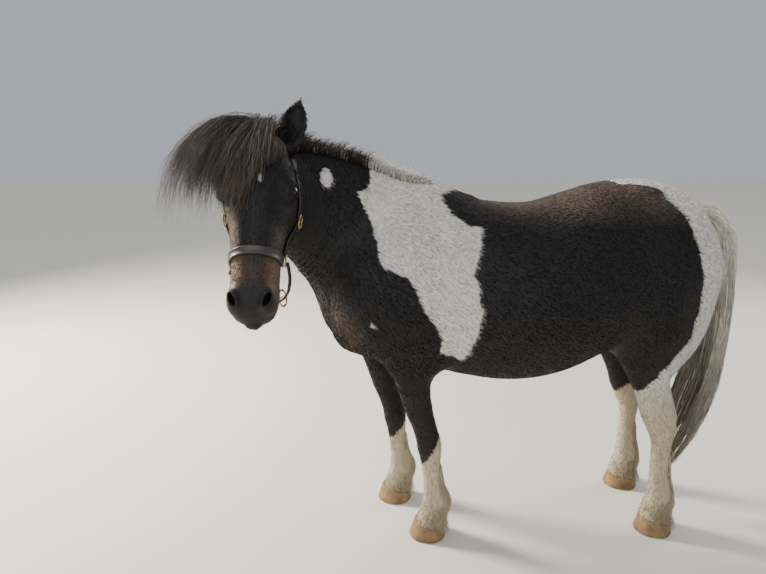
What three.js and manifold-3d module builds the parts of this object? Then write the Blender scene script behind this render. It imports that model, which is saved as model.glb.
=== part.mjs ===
// A shetland pony standing square with its head turned to its left, life size, wearing a leather halter.
// Millimetres, +Z up. The pony faces -X, its left side is -Y, and it stands on the plane z = 0.
import * as THREE from "three";
import { mergeVertices } from "three/addons/utils/BufferGeometryUtils.js";
import Module from "manifold-3d";

const wasm = await Module();
wasm.setup();

// Driving dimensions. Every table below is in thousandths of the height at the withers.
const WITHERS = 1000;
const UNIT = WITHERS / 1000;
const GAP = 0.3;
const HEAD_POLL = [-704, -185, 1127];
const HEAD_YAW = 3.5;
const HEAD_PITCH = 29;
const EYE = { down: 126, left: 75, out: -22, radius: 16.5 };
const EAR_LENGTH = 130;
const STRAP = { width: 18, thickness: 4.2 };

// The trunk, chest to tail: [x, top, bottom, half width, height of the widest point].
const TRUNK = [
  [-552, 765, 628, 66, 695],
  [-522, 830, 582, 116, 700],
  [-460, 900, 540, 150, 700],
  [-400, 950, 520, 164, 700],
  [-330, 985, 508, 172, 698],
  [-268, 998, 497, 180, 690],
  [-180, 976, 478, 203, 690],
  [-90, 962, 465, 224, 695],
  [0, 962, 468, 234, 700],
  [85, 985, 488, 232, 715],
  [170, 1010, 526, 220, 740],
  [250, 1022, 570, 206, 765],
  [330, 1018, 618, 186, 790],
  [400, 996, 660, 152, 815],
  [450, 966, 705, 112, 840],
  [488, 918, 775, 60, 850],
];
// The neck: [distance along it, x, y, z, half depth, half width].
const NECK = [
  [0, -330, 0, 770, 232, 118],
  [1, -440, -4, 850, 204, 104],
  [2, -540, -20, 925, 172, 88],
  [3, -620, -52, 975, 142, 74],
  [4, -690, -96, 1022, 116, 66],
  [5, -715, -150, 1050, 92, 60],
];
// The head, poll to lips, in its own frame: [down the face, front, back, half width, depth of the widest point].
const HEAD = [
  [-16, -24, -64, 30, -42],
  [8, 0, -100, 52, -46],
  [50, 14, -135, 74, -50],
  [95, 20, -163, 84, -52],
  [124, 20, -176, 85, -58],
  [160, 17, -180, 80, -66],
  [205, 9, -166, 70, -72],
  [250, 4, -140, 62, -66],
  [290, 1, -118, 57, -58],
  [330, 0, -106, 55, -54],
  [366, -2, -101, 57, -52],
  [394, -11, -97, 52, -54],
  [412, -25, -90, 40, -57],
  [422, -42, -77, 18, -60],
];
// A fore leg, coronet to elbow: [height, shift to the rear, half length, half width].
const FORE = [
  [20, -4, 46, 41],
  [58, 0, 38, 35],
  [84, 8, 38, 33],
  [105, 14, 40, 33],
  [126, 14, 38, 32],
  [155, 7, 30, 27],
  [200, 0, 27, 24],
  [245, -4, 30, 28],
  [280, -8, 35, 35],
  [310, -12, 36, 36],
  [345, -22, 36, 32],
  [400, -40, 40, 35],
  [460, -54, 46, 42],
  [520, -62, 60, 48],
  [600, -62, 84, 52],
];
// A hind leg, coronet to stifle.
const HIND = [
  [20, -4, 47, 42],
  [58, -8, 40, 36],
  [84, -2, 40, 34],
  [110, 2, 38, 34],
  [138, 0, 34, 31],
  [180, -6, 28, 25],
  [235, -8, 27, 24],
  [285, -10, 31, 27],
  [330, -18, 43, 33],
  [372, -30, 52, 35],
  [408, -42, 52, 33],
  [450, -58, 54, 36],
  [500, -76, 64, 46],
  [560, -88, 84, 60],
  [640, -84, 112, 68],
];
// Where each leg stands: its table, its hoof's middle, and the height where it meets the trunk.
const LEGS = {
  fore_left: { table: FORE, x: -276, y: -84, lean: -0.04, top: 484 },
  fore_right: { table: FORE, x: -354, y: 108, lean: -0.02, top: 484 },
  hind_left: { table: HIND, x: 394, y: -110, lean: -0.0, top: 545 },
  hind_right: { table: HIND, x: 412, y: 132, lean: -0.04, top: 545 },
};
// Muscles of the trunk on each side: [x, y, z, half sizes along x, y and z, lean about y in degrees].
const MUSCLES = [
  [-425, 88, 700, 104, 78, 150, 24],
  [-330, 92, 800, 70, 70, 150, 18],
  [-325, 104, 600, 92, 62, 96, 0],
  [-495, 60, 650, 60, 62, 80, 0],
  [330, 108, 790, 150, 96, 160, -12],
  [300, 116, 660, 112, 80, 122, -8],
  [404, 88, 730, 86, 74, 170, 6],
  [352, 108, 600, 92, 64, 110, -14],
];
// The tail: [distance down it, x, y, z, half size along x, half size along y].
const TAIL = [
  [0, 440, 0, 930, 26, 26],
  [1, 505, 0, 918, 34, 34],
  [2, 545, 0, 850, 44, 42],
  [3, 556, 0, 740, 48, 44],
  [4, 556, 0, 620, 52, 44],
  [5, 548, -2, 500, 58, 42],
  [6, 530, -5, 390, 64, 40],
  [7, 500, -8, 290, 62, 36],
  [8, 462, -12, 195, 46, 28],
  [9, 428, -16, 122, 16, 10],
];

const rad = (degrees) => (degrees * Math.PI) / 180;
const clamp = (v, low, high) => Math.min(Math.max(v, low), high);
const lerp = (a, b, t) => a + (b - a) * t;

// A smooth curve through a table's rows, read at its first column.
function rowAt(rows, at) {
  const t = clamp(at, rows[0][0], rows[rows.length - 1][0]);
  let i = 0;
  while (i < rows.length - 2 && rows[i + 1][0] < t) i++;
  const [a, b] = [rows[i], rows[i + 1]];
  const [before, after] = [rows[Math.max(i - 1, 0)], rows[Math.min(i + 2, rows.length - 1)]];
  const span = b[0] - a[0];
  const s = (t - a[0]) / span;
  return a.map((value, k) => {
    const out = ((b[k] - before[k]) / (b[0] - before[0])) * span;
    const into = ((after[k] - value) / (after[0] - a[0])) * span;
    const [s2, s3] = [s * s, s * s * s];
    return (2 * s3 - 3 * s2 + 1) * value + (s3 - 2 * s2 + s) * out + (3 * s2 - 2 * s3) * b[k] + (s3 - s2) * into;
  });
}

// Joins two signed distances with a fillet about `soft` wide.
function blend(a, b, soft) {
  const h = Math.max(soft - Math.abs(a - b), 0) / soft;
  return Math.min(a, b) - (h * h * soft) / 4;
}

// Takes one signed distance out of another with a rounded edge.
function carve(a, hollow, soft) {
  return -blend(-a, hollow, soft);
}

// Signed distance to a rounded section: u and v are measured from its middle in half sizes, r in millimetres.
function section(u, v, w, r, power) {
  const f = (Math.abs(u) ** power + Math.abs(v) ** power + Math.abs(w) ** power) ** (1 / power);
  return r * (1 - 1 / Math.max(f, 1e-3));
}

function ellipsoid([x, y, z], [rx, ry, rz]) {
  const k0 = Math.hypot(x / rx, y / ry, z / rz);
  const k1 = Math.hypot(x / (rx * rx), y / (ry * ry), z / (rz * rz));
  return k0 < 1e-6 ? -Math.min(rx, ry, rz) : (k0 * (k0 - 1)) / k1;
}

// A body whose sections stand across one axis: p is [along, side, up].
function lofted(rows, p, power, cap) {
  const [along, side, up] = p;
  const [, top, bottom, half, middle] = rowAt(rows, along);
  const over = Math.max(rows[0][0] - along, along - rows[rows.length - 1][0], 0);
  const rise = up - middle;
  const reach = rise > 0 ? top - middle : middle - bottom;
  return section(side / half, rise / reach, over / cap, Math.hypot(side, rise, over), power);
}

const trunk = (p) => lofted(TRUNK, p, 2.15, 26);

function muscles([x, y, z]) {
  let d = Infinity;
  for (const [mx, my, mz, rx, ry, rz, lean] of MUSCLES) {
    const [c, s] = [Math.cos(rad(lean)), Math.sin(rad(lean))];
    const [dx, dz] = [x - mx, z - mz];
    const e = ellipsoid([dx * c + dz * s, Math.abs(y) - my, dz * c - dx * s], [rx, ry, rz]);
    d = blend(d, e, 40);
  }
  return d;
}

function leg({ table, x, y, lean }, [px, py, pz]) {
  const top = table[table.length - 1][0];
  const [z, shift, long, wide] = rowAt(table, pz);
  const side = y + lean * z;
  const over = Math.max(pz - top, table[0][0] - pz, 0);
  const [dx, dy] = [px - (x + shift), py - side];
  return 0.94 * section(dx / long, dy / wide, over / 40, Math.hypot(dx, dy, over), 2.1);
}

// The neck's centre line, sampled once, with the directions across it.
const NECK_STEPS = 28;
const neckLine = Array.from({ length: NECK_STEPS + 1 }, (_, i) => {
  const at = (i / NECK_STEPS) * (NECK.length - 1);
  const [, x, y, z, deep, wide] = rowAt(NECK, at);
  return { at: new THREE.Vector3(x, y, z), deep, wide };
});
neckLine.forEach((s, i) => {
  const [a, b] = [neckLine[Math.max(i - 1, 0)], neckLine[Math.min(i + 1, NECK_STEPS)]];
  s.along = b.at.clone().sub(a.at).normalize();
  s.side = new THREE.Vector3(0, 0, 1).cross(s.along).normalize();
  s.up = s.along.clone().cross(s.side);
});

function neck([x, y, z]) {
  const p = new THREE.Vector3(x, y, z);
  let [best, bestT, found] = [Infinity, 0, 0];
  for (let i = 0; i < NECK_STEPS; i++) {
    const [a, b] = [neckLine[i].at, neckLine[i + 1].at];
    const [ax, ay, az] = [b.x - a.x, b.y - a.y, b.z - a.z];
    const t = clamp(((x - a.x) * ax + (y - a.y) * ay + (z - a.z) * az) / (ax * ax + ay * ay + az * az), 0, 1);
    const d = Math.hypot(x - a.x - ax * t, y - a.y - ay * t, z - a.z - az * t);
    if (d < best) [best, bestT, found] = [d, t, i];
  }
  const [a, b] = [neckLine[found], neckLine[found + 1]];
  const from = p.sub(a.at.clone().lerp(b.at, bestT));
  const [side, up] = [a.side.clone().lerp(b.side, bestT), a.up.clone().lerp(b.up, bestT)];
  const along = a.along.clone().lerp(b.along, bestT);
  const [deep, wide] = [lerp(a.deep, b.deep, bestT), lerp(a.wide, b.wide, bestT)];
  const [u, v, w] = [from.dot(side), from.dot(up), from.dot(along)];
  // The crest is narrower than the throat side.
  const taper = wide * (v > 0 ? 1 - 0.34 * clamp(v / deep, 0, 1) : 1);
  return section(u / taper, v / deep, w / 60, from.length(), 2.1);
}

// The head's own frame: down the face, towards its left, and out of the face.
const yaw = rad(HEAD_YAW);
const pitch = rad(HEAD_PITCH);
const nose = new THREE.Vector3(-Math.sin(yaw), -Math.cos(yaw), 0);
const headDown = nose.clone().multiplyScalar(Math.sin(pitch)).add(new THREE.Vector3(0, 0, -Math.cos(pitch)));
const headOut = nose.clone().multiplyScalar(Math.cos(pitch)).add(new THREE.Vector3(0, 0, Math.sin(pitch)));
const headLeft = new THREE.Vector3(Math.cos(yaw), -Math.sin(yaw), 0);
const poll = new THREE.Vector3(...HEAD_POLL);
const fromHead = (down, left, out) =>
  poll.clone().addScaledVector(headDown, down).addScaledVector(headLeft, left).addScaledVector(headOut, out);
function toHead([x, y, z]) {
  const p = new THREE.Vector3(x, y, z).sub(poll);
  return [p.dot(headDown), p.dot(headLeft), p.dot(headOut)];
}

function headField(p) {
  const [down, left, out] = toHead(p);
  const side = Math.abs(left);
  let d = lofted(HEAD, [down, left, out], 2.25, 14);
  // Brow over each eye, cheek, nostril bulge and chin.
  d = blend(d, ellipsoid([down - 116, side - 66, out + 20], [38, 26, 24]), 18);
  d = blend(d, ellipsoid([down - 158, side - 42, out + 118], [60, 35, 56]), 26);
  d = blend(d, ellipsoid([down - 378, side - 34, out + 28], [30, 21, 26]), 16);
  d = blend(d, ellipsoid([down - 388, side, out + 94], [26, 30, 18]), 16);
  // The hollow above each eye and the one between cheek and nose.
  d = carve(d, ellipsoid([down - 84, side - 84, out + 26], [22, 12, 16]), 14);
  d = carve(d, ellipsoid([down - 268, side - 78, out + 84], [50, 16, 26]), 26);
  return d;
}

function body(p) {
  const [x, y, z] = p;
  let d = blend(trunk(p), muscles(p), 46);
  d = blend(d, ellipsoid([x - 424, y, z - 700], [56, 70, 140]), 46);
  d = blend(d, neck(p), 70);
  d = blend(d, headField(p), 30);
  for (const name in LEGS) d = blend(d, leg(LEGS[name], p), 34);
  // The groove between the breast muscles.
  return carve(d, ellipsoid([x + 566, y, z - 640], [40, 12, 90]), 30);
}

function solidOf(geometry) {
  const bare = new THREE.BufferGeometry().setAttribute("position", geometry.getAttribute("position"));
  if (geometry.index) bare.setIndex(geometry.index);
  const merged = mergeVertices(bare, 1e-3);
  const made = new wasm.Manifold(
    new wasm.Mesh({
      numProp: 3,
      vertProperties: new Float32Array(merged.attributes.position.array),
      triVerts: new Uint32Array(merged.index.array),
    }),
  );
  return made;
}

function geometryOf(solid) {
  const { numVert, vertProperties, triVerts } = solid.getMesh();
  return new THREE.BufferGeometry()
    .setAttribute("position", new THREE.BufferAttribute(new Float32Array(vertProperties.slice(0, 3 * numVert)), 3))
    .setIndex(new THREE.BufferAttribute(triVerts, 1));
}

// The largest closed surface of a solid, which drops a loose scrap.
function largest(solid) {
  return solid.decompose().reduce((a, b) => (b.volume() > a.volume() ? b : a));
}

// The distance from a point to where the field first turns positive along a direction, at most `most`.
function reach(field, from, way, most, wanted = 0) {
  const at = (r) => field([from[0] + way[0] * r, from[1] + way[1] * r, from[2] + way[2] * r]) - wanted;
  const step = most / Math.ceil(most / 8);
  let inside = 0;
  let outside = most;
  for (let r = step; r <= most + 1e-6; r += step) {
    if (at(r) > 0) {
      outside = r;
      break;
    }
    inside = r;
  }
  if (inside >= most - 1e-6) return most;
  for (let n = 0; n < 12; n++) {
    const middle = (inside + outside) / 2;
    if (at(middle) > 0) outside = middle;
    else inside = middle;
  }
  return (inside + outside) / 2;
}

// A closed tube of rings of points, with a point at each end.
function ringsSolid(rings, first, last) {
  const sides = rings[0].length;
  const points = [first, ...rings.flat(), last];
  const faces = [];
  const index = (i, k) => 1 + i * sides + ((k + sides) % sides);
  for (let k = 0; k < sides; k++) {
    faces.push(0, index(0, k + 1), index(0, k));
    faces.push(points.length - 1, index(rings.length - 1, k), index(rings.length - 1, k + 1));
    for (let i = 0; i < rings.length - 1; i++) {
      faces.push(index(i, k), index(i, k + 1), index(i + 1, k));
      faces.push(index(i, k + 1), index(i + 1, k + 1), index(i + 1, k));
    }
  }
  const geometry = new THREE.BufferGeometry()
    .setAttribute("position", new THREE.BufferAttribute(new Float32Array(points.flat()), 3))
    .setIndex(faces);
  const solid = solidOf(geometry);
  return solid.volume() < 0 ? solidOf(geometry.setIndex(faces.reverse())) : solid;
}

// A tube whose rings lie on the field: each station is [middle, first direction, second direction, reach].
function tubeOn(field, stations, sides, wanted = 0) {
  const rings = stations.map(([middle, e1, e2, most]) =>
    Array.from({ length: sides }, (_, k) => {
      const a = (2 * Math.PI * k) / sides;
      const way = [0, 1, 2].map((m) => e1[m] * Math.cos(a) + e2[m] * Math.sin(a));
      const r = Math.max(reach(field, middle, way, most(way), wanted), 1);
      return middle.map((v, m) => v + way[m] * r);
    }),
  );
  return ringsSolid(rings, stations[0][0], stations[stations.length - 1][0]);
}

// Moves a point along the field's slope until the field has the wanted value.
function ontoSurface(field, p, wanted = 0) {
  let q = [...p];
  for (let n = 0; n < 5; n++) {
    const off = field(q) - wanted;
    const slope = slopeAt(field, q);
    const size = slope[0] ** 2 + slope[1] ** 2 + slope[2] ** 2;
    if (size < 1e-4) break;
    q = q.map((v, k) => v - (off * slope[k]) / size);
  }
  return q;
}

function slopeAt(field, q, e = 1.5) {
  return [0, 1, 2].map((k) => {
    const [a, b] = [[...q], [...q]];
    a[k] -= e;
    b[k] += e;
    return (field(b) - field(a)) / (2 * e);
  });
}

// A block that fills the far side of a plane, for cutting: it starts at the point and runs along the normal.
function beyond(point, normal, size = 1600) {
  const n = new THREE.Vector3(...normal).normalize();
  const g = new THREE.BoxGeometry(size, size, size);
  g.translate(0, 0, size / 2);
  g.applyQuaternion(new THREE.Quaternion().setFromUnitVectors(new THREE.Vector3(0, 0, 1), n));
  g.translate(...point);
  return solidOf(g);
}

// What is left of a solid on the near side of a plane, held back from it by half the gap.
function keepBefore(solid, point, normal) {
  const n = new THREE.Vector3(...normal).normalize();
  const back = point.map((v, k) => v - (n.getComponent(k) * GAP) / 2);
  return solid.subtract(beyond(back, n.toArray()));
}

const parts = new Map();
const MATERIALS = {
  coat: { color: 0x1d1715, roughness: 0.8 },
  white_coat: { color: 0xd8d4cc, roughness: 0.85 },
  mane: { color: 0x3a312d, roughness: 0.7 },
  hoof: { color: 0xb08a5c, roughness: 0.55 },
  eye: { color: 0x120b08, roughness: 0.1 },
  leather: { color: 0x221a16, roughness: 0.45 },
  metal: { color: 0xb8ad92, roughness: 0.3, metalness: 0.9 },
};

const NECK_BASE = { point: [-425, 0, 850], normal: [-0.866, 0, 0.5] };
const spaced = (low, high, count) => Array.from({ length: count }, (_, i) => lerp(low, high, i / (count - 1)));

// The trunk, with the neck and the legs cut away.
function torsoSolid(wanted = 0) {
  const at = [-572, -564, ...spaced(-548, 440, 24), 464, 482, 496, 508];
  const middle = (x) => 720 + 90 * clamp((x - 300) / 200, 0, 1) ** 2;
  const stations = at.map((x) => [[x, 0, middle(x)], [0, 1, 0], [0, 0, 1], () => 420]);
  let s = tubeOn(body, stations, 28, wanted);
  s = keepBefore(s, NECK_BASE.point.map((v, m) => v + 1.5 * wanted * NECK_BASE.normal[m]), NECK_BASE.normal);
  for (const { x, y, top } of Object.values(LEGS)) {
    const box = new THREE.BoxGeometry(230, 200, 300);
    box.translate(x - 70, Math.sign(y) * 104, top - 150 + GAP / 2);
    s = s.subtract(solidOf(box));
  }
  return largest(s);
}

// Rings across the neck, parallel to its base there and turning with it up to the head.
const neckStations = spaced(0.5, 5, 14).map((at) => {
  const [, x, y, z, deep] = rowAt(NECK, at);
  const [, ax, ay, az] = rowAt(NECK, Math.max(at - 0.2, 0));
  const [, bx, by, bz] = rowAt(NECK, Math.min(at + 0.2, 5));
  const along = new THREE.Vector3(bx - ax, by - ay, bz - az).normalize();
  const n = new THREE.Vector3(...NECK_BASE.normal).lerp(along, clamp((at - 1) / 2.5, 0, 1)).normalize();
  const side = new THREE.Vector3(0, 0, 1).cross(n).normalize();
  return { at: [x, y, z], n, side, up: n.clone().cross(side), deep };
});

function neckSolid(wanted = 0) {
  const end = neckStations[neckStations.length - 1];
  const more = [24, 46 + 2 * wanted].map((d) => ({ ...end, at: end.at.map((v, m) => v + end.n.getComponent(m) * d), deep: 60 }));
  const stations = [...neckStations, ...more].map(({ at, side, up, deep }) => {
    return [at, side.toArray(), up.toArray(), () => deep * 1.5 + 2 * wanted];
  });
  const s = keepBefore(tubeOn(body, stations, 22, wanted), NECK_BASE.point, NECK_BASE.normal.map((v) => -v));
  return largest(s);
}

const HEAD_SIDES = 22;
function headSolid(wanted = 0) {
  const at = [-13 - 2 * wanted, -4, ...spaced(10, 395, 21), 405, 413, 419];
  const stations = at.map((down) => {
    const [, front, back] = rowAt(HEAD, down);
    const m = fromHead(down, 0, (front + back) / 2).toArray();
    return [m, headLeft.toArray(), headOut.toArray(), (way) => reach(headField, m, way, 150) * 1.08 + 6 + 2 * wanted];
  });
  return largest(tubeOn(body, stations, HEAD_SIDES, wanted));
}

// The plane of the coronet, which drops to the heels.
const CORONET = { height: 44, drop: 0.2 };
const coronetPlane = ({ x, y }) => ({ point: [x, y, CORONET.height - 4], normal: [CORONET.drop, 0, 1] });

function legSolid(spec) {
  const { table, x, y, lean, top } = spec;
  const at = [22, 42, 62, 80, 98, 118, 142, 175, 210, 240, 265, 290, 318, 350, 390, 435, 485, 530, 575];
  const stations = at.map((z) => {
    const [, shift, long] = rowAt(table, z);
    return [[x + shift, y + lean * z, z], [1, 0, 0], [0, 1, 0], () => Math.max(long * 1.45, 60)];
  });
  const s = tubeOn(body, stations, 12);
  const sole = coronetPlane(spec);
  return largest(keepBefore(keepBefore(s, [0, 0, top], [0, 0, 1]), sole.point, sole.normal.map((v) => -v)));
}

function hoofSolid(spec, grow = 0) {
  const { table, x, y } = spec;
  const sides = 16;
  const ring = (z, long, wide, shift) =>
    Array.from({ length: sides }, (_, k) => {
      const a = (2 * Math.PI * k) / sides;
      const heel = Math.cos(a) > 0 ? 0.86 : 1;
      return [x + shift + (long * heel + grow) * Math.cos(a), y + (wide + grow) * Math.sin(a), z];
    });
  const rings = [ring(0, 56, 48, -4), ring(4, 57, 49, -4), ring(30, 51, 44.5, -2), ring(70, 42, 37, 4)];
  const s = ringsSolid(rings, [x - 4, y, 0], [x + 4, y, 70]);
  const { point, normal } = coronetPlane(spec);
  return largest(keepBefore(s, [point[0], point[1], point[2] + grow], normal));
}

function ellipsoidSolid(middle, sizes, across = [1, 0, 0], upward = [0, 0, 1], segments = 14) {
  const g = new THREE.SphereGeometry(1, segments, Math.round(segments * 0.7));
  const [ex, ez] = [new THREE.Vector3(...across).normalize(), new THREE.Vector3(...upward).normalize()];
  const ey = ez.clone().cross(ex);
  g.scale(...sizes);
  g.applyMatrix4(new THREE.Matrix4().makeBasis(ex, ey, ez));
  g.translate(...middle);
  return solidOf(g);
}

// A strip of even thickness along a smooth path that hugs the field.
function strapSolid(path, { width, thickness, lift = 0.5, count = 24, hugs = true, under = 1.2 }) {
  const curve = new THREE.CatmullRomCurve3(path.map((p) => new THREE.Vector3(...p)), false, "centripetal");
  const spots = Array.from({ length: count + 1 }, (_, i) => curve.getPoint(i / count).toArray());
  const onSkin = hugs ? spots.map((p) => ontoSurface(body, p, lift)) : spots;
  const middle = new THREE.Vector3(...onSkin[0]).lerp(new THREE.Vector3(...onSkin[count]), 0.5);
  const rings = onSkin.map((p, i) => {
    const before = onSkin[Math.max(i - 1, 0)];
    const after = onSkin[Math.min(i + 1, count)];
    const along = new THREE.Vector3(...after).sub(new THREE.Vector3(...before)).normalize();
    const away = hugs ? slopeAt(body, p) : new THREE.Vector3(...p).sub(middle).toArray();
    const out = new THREE.Vector3(...away).normalize();
    const side = out.clone().cross(along).normalize();
    out.crossVectors(along, side).normalize();
    const corner = (w, t) => new THREE.Vector3(...p).addScaledVector(side, w).addScaledVector(out, t).toArray();
    const half = width / 2;
    return [
      corner(-half, -under),
      corner(-half, thickness - 1),
      corner(-half + 2, thickness),
      corner(half - 2, thickness),
      corner(half, thickness - 1),
      corner(half, -under),
    ];
  });
  const end = (ring) => ring[0].map((_, m) => ring.reduce((sum, p) => sum + p[m], 0) / ring.length);
  return ringsSolid(rings, end(rings[0]), end(rings[rings.length - 1]));
}

// An ear: a tapered leaf with a cup taken out of the side it opens to. Growing it leaves room round it.
const EAR = [
  [0, 16, 16],
  [0.16, 24, 20],
  [0.36, 31, 18],
  [0.56, 31, 15],
  [0.74, 24, 11],
  [0.88, 14, 7],
  [0.97, 5, 3],
];
function earSolid({ root, way, open }, grow = 0, hollow = true) {
  const inHead = ([d, l, o]) =>
    new THREE.Vector3().addScaledVector(headDown, d).addScaledVector(headLeft, l).addScaledVector(headOut, o);
  const base = fromHead(...root);
  const along = inHead(way).normalize();
  const across = inHead(open).cross(along).normalize();
  const opening = along.clone().cross(across).normalize();
  const facing = opening.dot(inHead(open)) > 0 ? opening : opening.clone().negate();
  const leaf = (scale, shift, from, to) => {
    const rings = EAR.filter(([t]) => t >= from && t <= to).map(([t, wide, deep]) => {
      const bend = 10 * t * t;
      return Array.from({ length: 12 }, (_, k) => {
        const a = (2 * Math.PI * k) / 12;
        return base
          .clone()
          .addScaledVector(along, t * EAR_LENGTH)
          .addScaledVector(across, Math.cos(a) * (wide * scale + grow))
          .addScaledVector(facing, Math.sin(a) * (deep * scale + grow) + shift * deep + bend)
          .toArray();
      });
    });
    const middle = (ring) => [0, 1, 2].map((m) => ring.reduce((sum, p) => sum + p[m], 0) / ring.length);
    const [first, last] = [middle(rings[0]), new THREE.Vector3(...middle(rings[rings.length - 1]))];
    return ringsSolid(rings, first, last.addScaledVector(along, 3).toArray());
  };
  const whole = leaf(1, 0, 0, 1);
  return hollow ? whole.subtract(leaf(0.8, 0.62, 0.1, 0.9)) : whole;
}
const EARS = {
  left: { root: [6, 54, -46], way: [-0.96, 0.22, -0.02], open: [0, 0.2, 0.97] },
  right: { root: [4, -46, -46], way: [-0.5, -0.84, -0.16], open: [0.45, 0.1, 0.88] },
};

// An eye's middle and the directions of its opening: along the lids, across them and outward.
function eyeFrame(side) {
  const middle = fromHead(EYE.down, side * EYE.left, EYE.out);
  const along = headDown.clone().multiplyScalar(0.86).addScaledVector(headOut, 0.5).normalize();
  const outward = headLeft.clone().multiplyScalar(side).addScaledVector(headOut, 0.3).normalize();
  along.addScaledVector(outward, -along.dot(outward)).normalize();
  return { middle: middle.toArray(), along: along.toArray(), outward: outward.toArray() };
}

function withEyes(head) {
  let s = head;
  for (const side of [1, -1]) {
    const { middle, along, outward } = eyeFrame(side);
    const r = EYE.radius;
    s = s.add(ellipsoidSolid(middle, [r + 8, r + 5, r + 4.5], along, outward, 10));
    const outside = middle.map((v, k) => v + outward[k] * r * 1.1);
    s = s.subtract(ellipsoidSolid(outside, [15.5, 8.5, 12], along, outward, 8));
    s = s.subtract(ellipsoidSolid(middle, [r + GAP, r + GAP, r + GAP], along, outward, 12));
  }
  return largest(s);
}

// Nostrils, and the line of the mouth that runs back from between the lips.
const MOUTH = [[347, 60, -85], [366, 53, -80], [384, 44, -76], [402, 28, -71], [410, 0, -69]];
MOUTH.push(...MOUTH.slice(0, 4).reverse().map(([d, l, o]) => [d, -l, o]));
function withMuzzle(head) {
  let s = head;
  for (const side of [1, -1]) {
    const middle = fromHead(378, side * 35, -10).toArray();
    const along = headDown.clone().addScaledVector(headLeft, -0.45 * side).normalize();
    const upward = headOut.clone().addScaledVector(headLeft, 0.5 * side).normalize();
    upward.addScaledVector(along, -upward.dot(along)).normalize();
    s = s.subtract(ellipsoidSolid(middle, [16, 7.5, 17], along.toArray(), upward.toArray(), 10));
  }
  return largest(s.subtract(strapSolid(onHead(MOUTH), { width: 3, thickness: 8, lift: 0, count: 19, under: 7 })));
}

// The halter's straps as paths over the skin, in the head's frame: down, left, out.
const onHead = (rows) => rows.map(([d, l, o]) => fromHead(d, l, o).toArray());
const mirrored = (rows) => rows.map(([d, l, o]) => [d, -l, o]);
const NOSEBAND = [[282, 60, -66], [278, 59, -34], [274, 34, 2], [272, 0, 8], [274, -34, 2], [278, -59, -34], [282, -60, -66]];
const CHEEK = [[264, 64, -76], [236, 68, -80], [205, 76, -88], [178, 82, -92]];
const SIDE = [[160, 84, -92], [130, 88, -88], [90, 86, -82], [56, 78, -80]];
const CROWN = [[42, 74, -84], [12, 60, -100], [-10, 32, -104], [-16, 0, -104], [-10, -32, -104], [12, -60, -100], [42, -74, -84]];
const THROAT = [[150, 80, -108], [164, 66, -150], [172, 30, -184], [174, 0, -190], [172, -30, -184], [164, -66, -150], [150, -80, -108]];
const CHIN = [[290, 67, -80], [314, 67, -100], [338, 58, -122], [348, 34, -138], [340, 0, -142], [318, -38, -124], [292, -66, -84]];
const HALTER = {
  halter_noseband: { path: NOSEBAND, count: 13 },
  halter_cheek_left: { path: CHEEK, count: 4 },
  halter_cheek_right: { path: mirrored(CHEEK), count: 4 },
  halter_side_left: { path: SIDE, count: 4 },
  halter_side_right: { path: mirrored(SIDE), count: 4 },
  halter_crown: { path: CROWN, count: 14 },
  halter_throat: { path: THROAT, count: 10 },
  halter_chin: { path: CHIN, count: 12, hugs: false },
};
// Rings and buckles: a middle in the head's frame, half sizes along the face and across it, and the wire's radius.
const FITTINGS = {
  ring_left: { at: [275, 63, -70], half: [13, 11], wire: 2.2 },
  ring_right: { at: [275, -63, -70], half: [13, 11], wire: 2.2 },
  buckle_left: { at: [169, 83, -92], half: [14, 12], wire: 1.9 },
  buckle_right: { at: [169, -83, -92], half: [14, 12], wire: 1.9 },
};
const LEAD_RING = { at: [345, 48, -130], radius: 19, wire: 2.4 };

// A four sided ring of round wire that lies on the skin over the ends of two straps.
function fittingSolid({ at, half, wire }) {
  const lift = STRAP.thickness + wire + 1;
  const spot = ontoSurface(body, fromHead(...at).toArray(), lift);
  const out = new THREE.Vector3(...slopeAt(body, spot)).normalize();
  const down = headDown.clone().addScaledVector(out, -headDown.dot(out)).normalize();
  const g = new THREE.TorusGeometry(Math.SQRT2, wire / half[0], 6, 4);
  g.rotateZ(Math.PI / 4);
  g.scale(half[0], half[1], half[0]);
  g.applyMatrix4(new THREE.Matrix4().makeBasis(down, out.clone().cross(down), out));
  g.translate(...spot);
  return solidOf(g);
}

function leadRingSolid() {
  const g = new THREE.TorusGeometry(LEAD_RING.radius, LEAD_RING.wire, 5, 14);
  g.applyMatrix4(new THREE.Matrix4().lookAt(fromHead(...CHIN[2]), fromHead(...CHIN[4]), headDown));
  g.translate(...fromHead(...LEAD_RING.at).toArray());
  return solidOf(g);
}

// The first distance along a direction at which the field turns negative, coming from outside.
function touch(field, from, way, most) {
  const at = (r) => field(from.map((v, m) => v + way[m] * r));
  for (let r = 0; r < most; r += 8) {
    if (at(r) > 0) continue;
    let [outside, inside] = [r - 8, r];
    for (let n = 0; n < 10; n++) {
      const middle = (inside + outside) / 2;
      if (at(middle) > 0) outside = middle;
      else inside = middle;
    }
    return inside;
  }
  return most;
}

// The crest of the neck from the withers to the poll: where it runs, seen from above.
const CREST = [
  [0, -262, 0],
  [1, -330, 0],
  [2, -400, -2],
  [3, -470, -10],
  [4, -540, -26],
  [5, -602, -54],
  [6, -652, -92],
  [7, -688, -136],
  [8, -708, -172],
];
const MANE_LENGTH = 200;

// A spot on the crest, with the direction along it, and the one out over its right side.
function crestAt(t) {
  const [, x, y] = rowAt(CREST, t);
  const [, ax, ay] = rowAt(CREST, Math.max(t - 0.1, 0));
  const [, bx, by] = rowAt(CREST, Math.min(t + 0.1, 8));
  const along = new THREE.Vector3(bx - ax, by - ay, 0).normalize();
  const right = along.clone().cross(new THREE.Vector3(0, 0, 1)).normalize();
  const z = 1300 - touch(body, [x, y, 1300], [0, 0, -1], 600);
  return { at: new THREE.Vector3(x, y, z), along, right };
}

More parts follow.
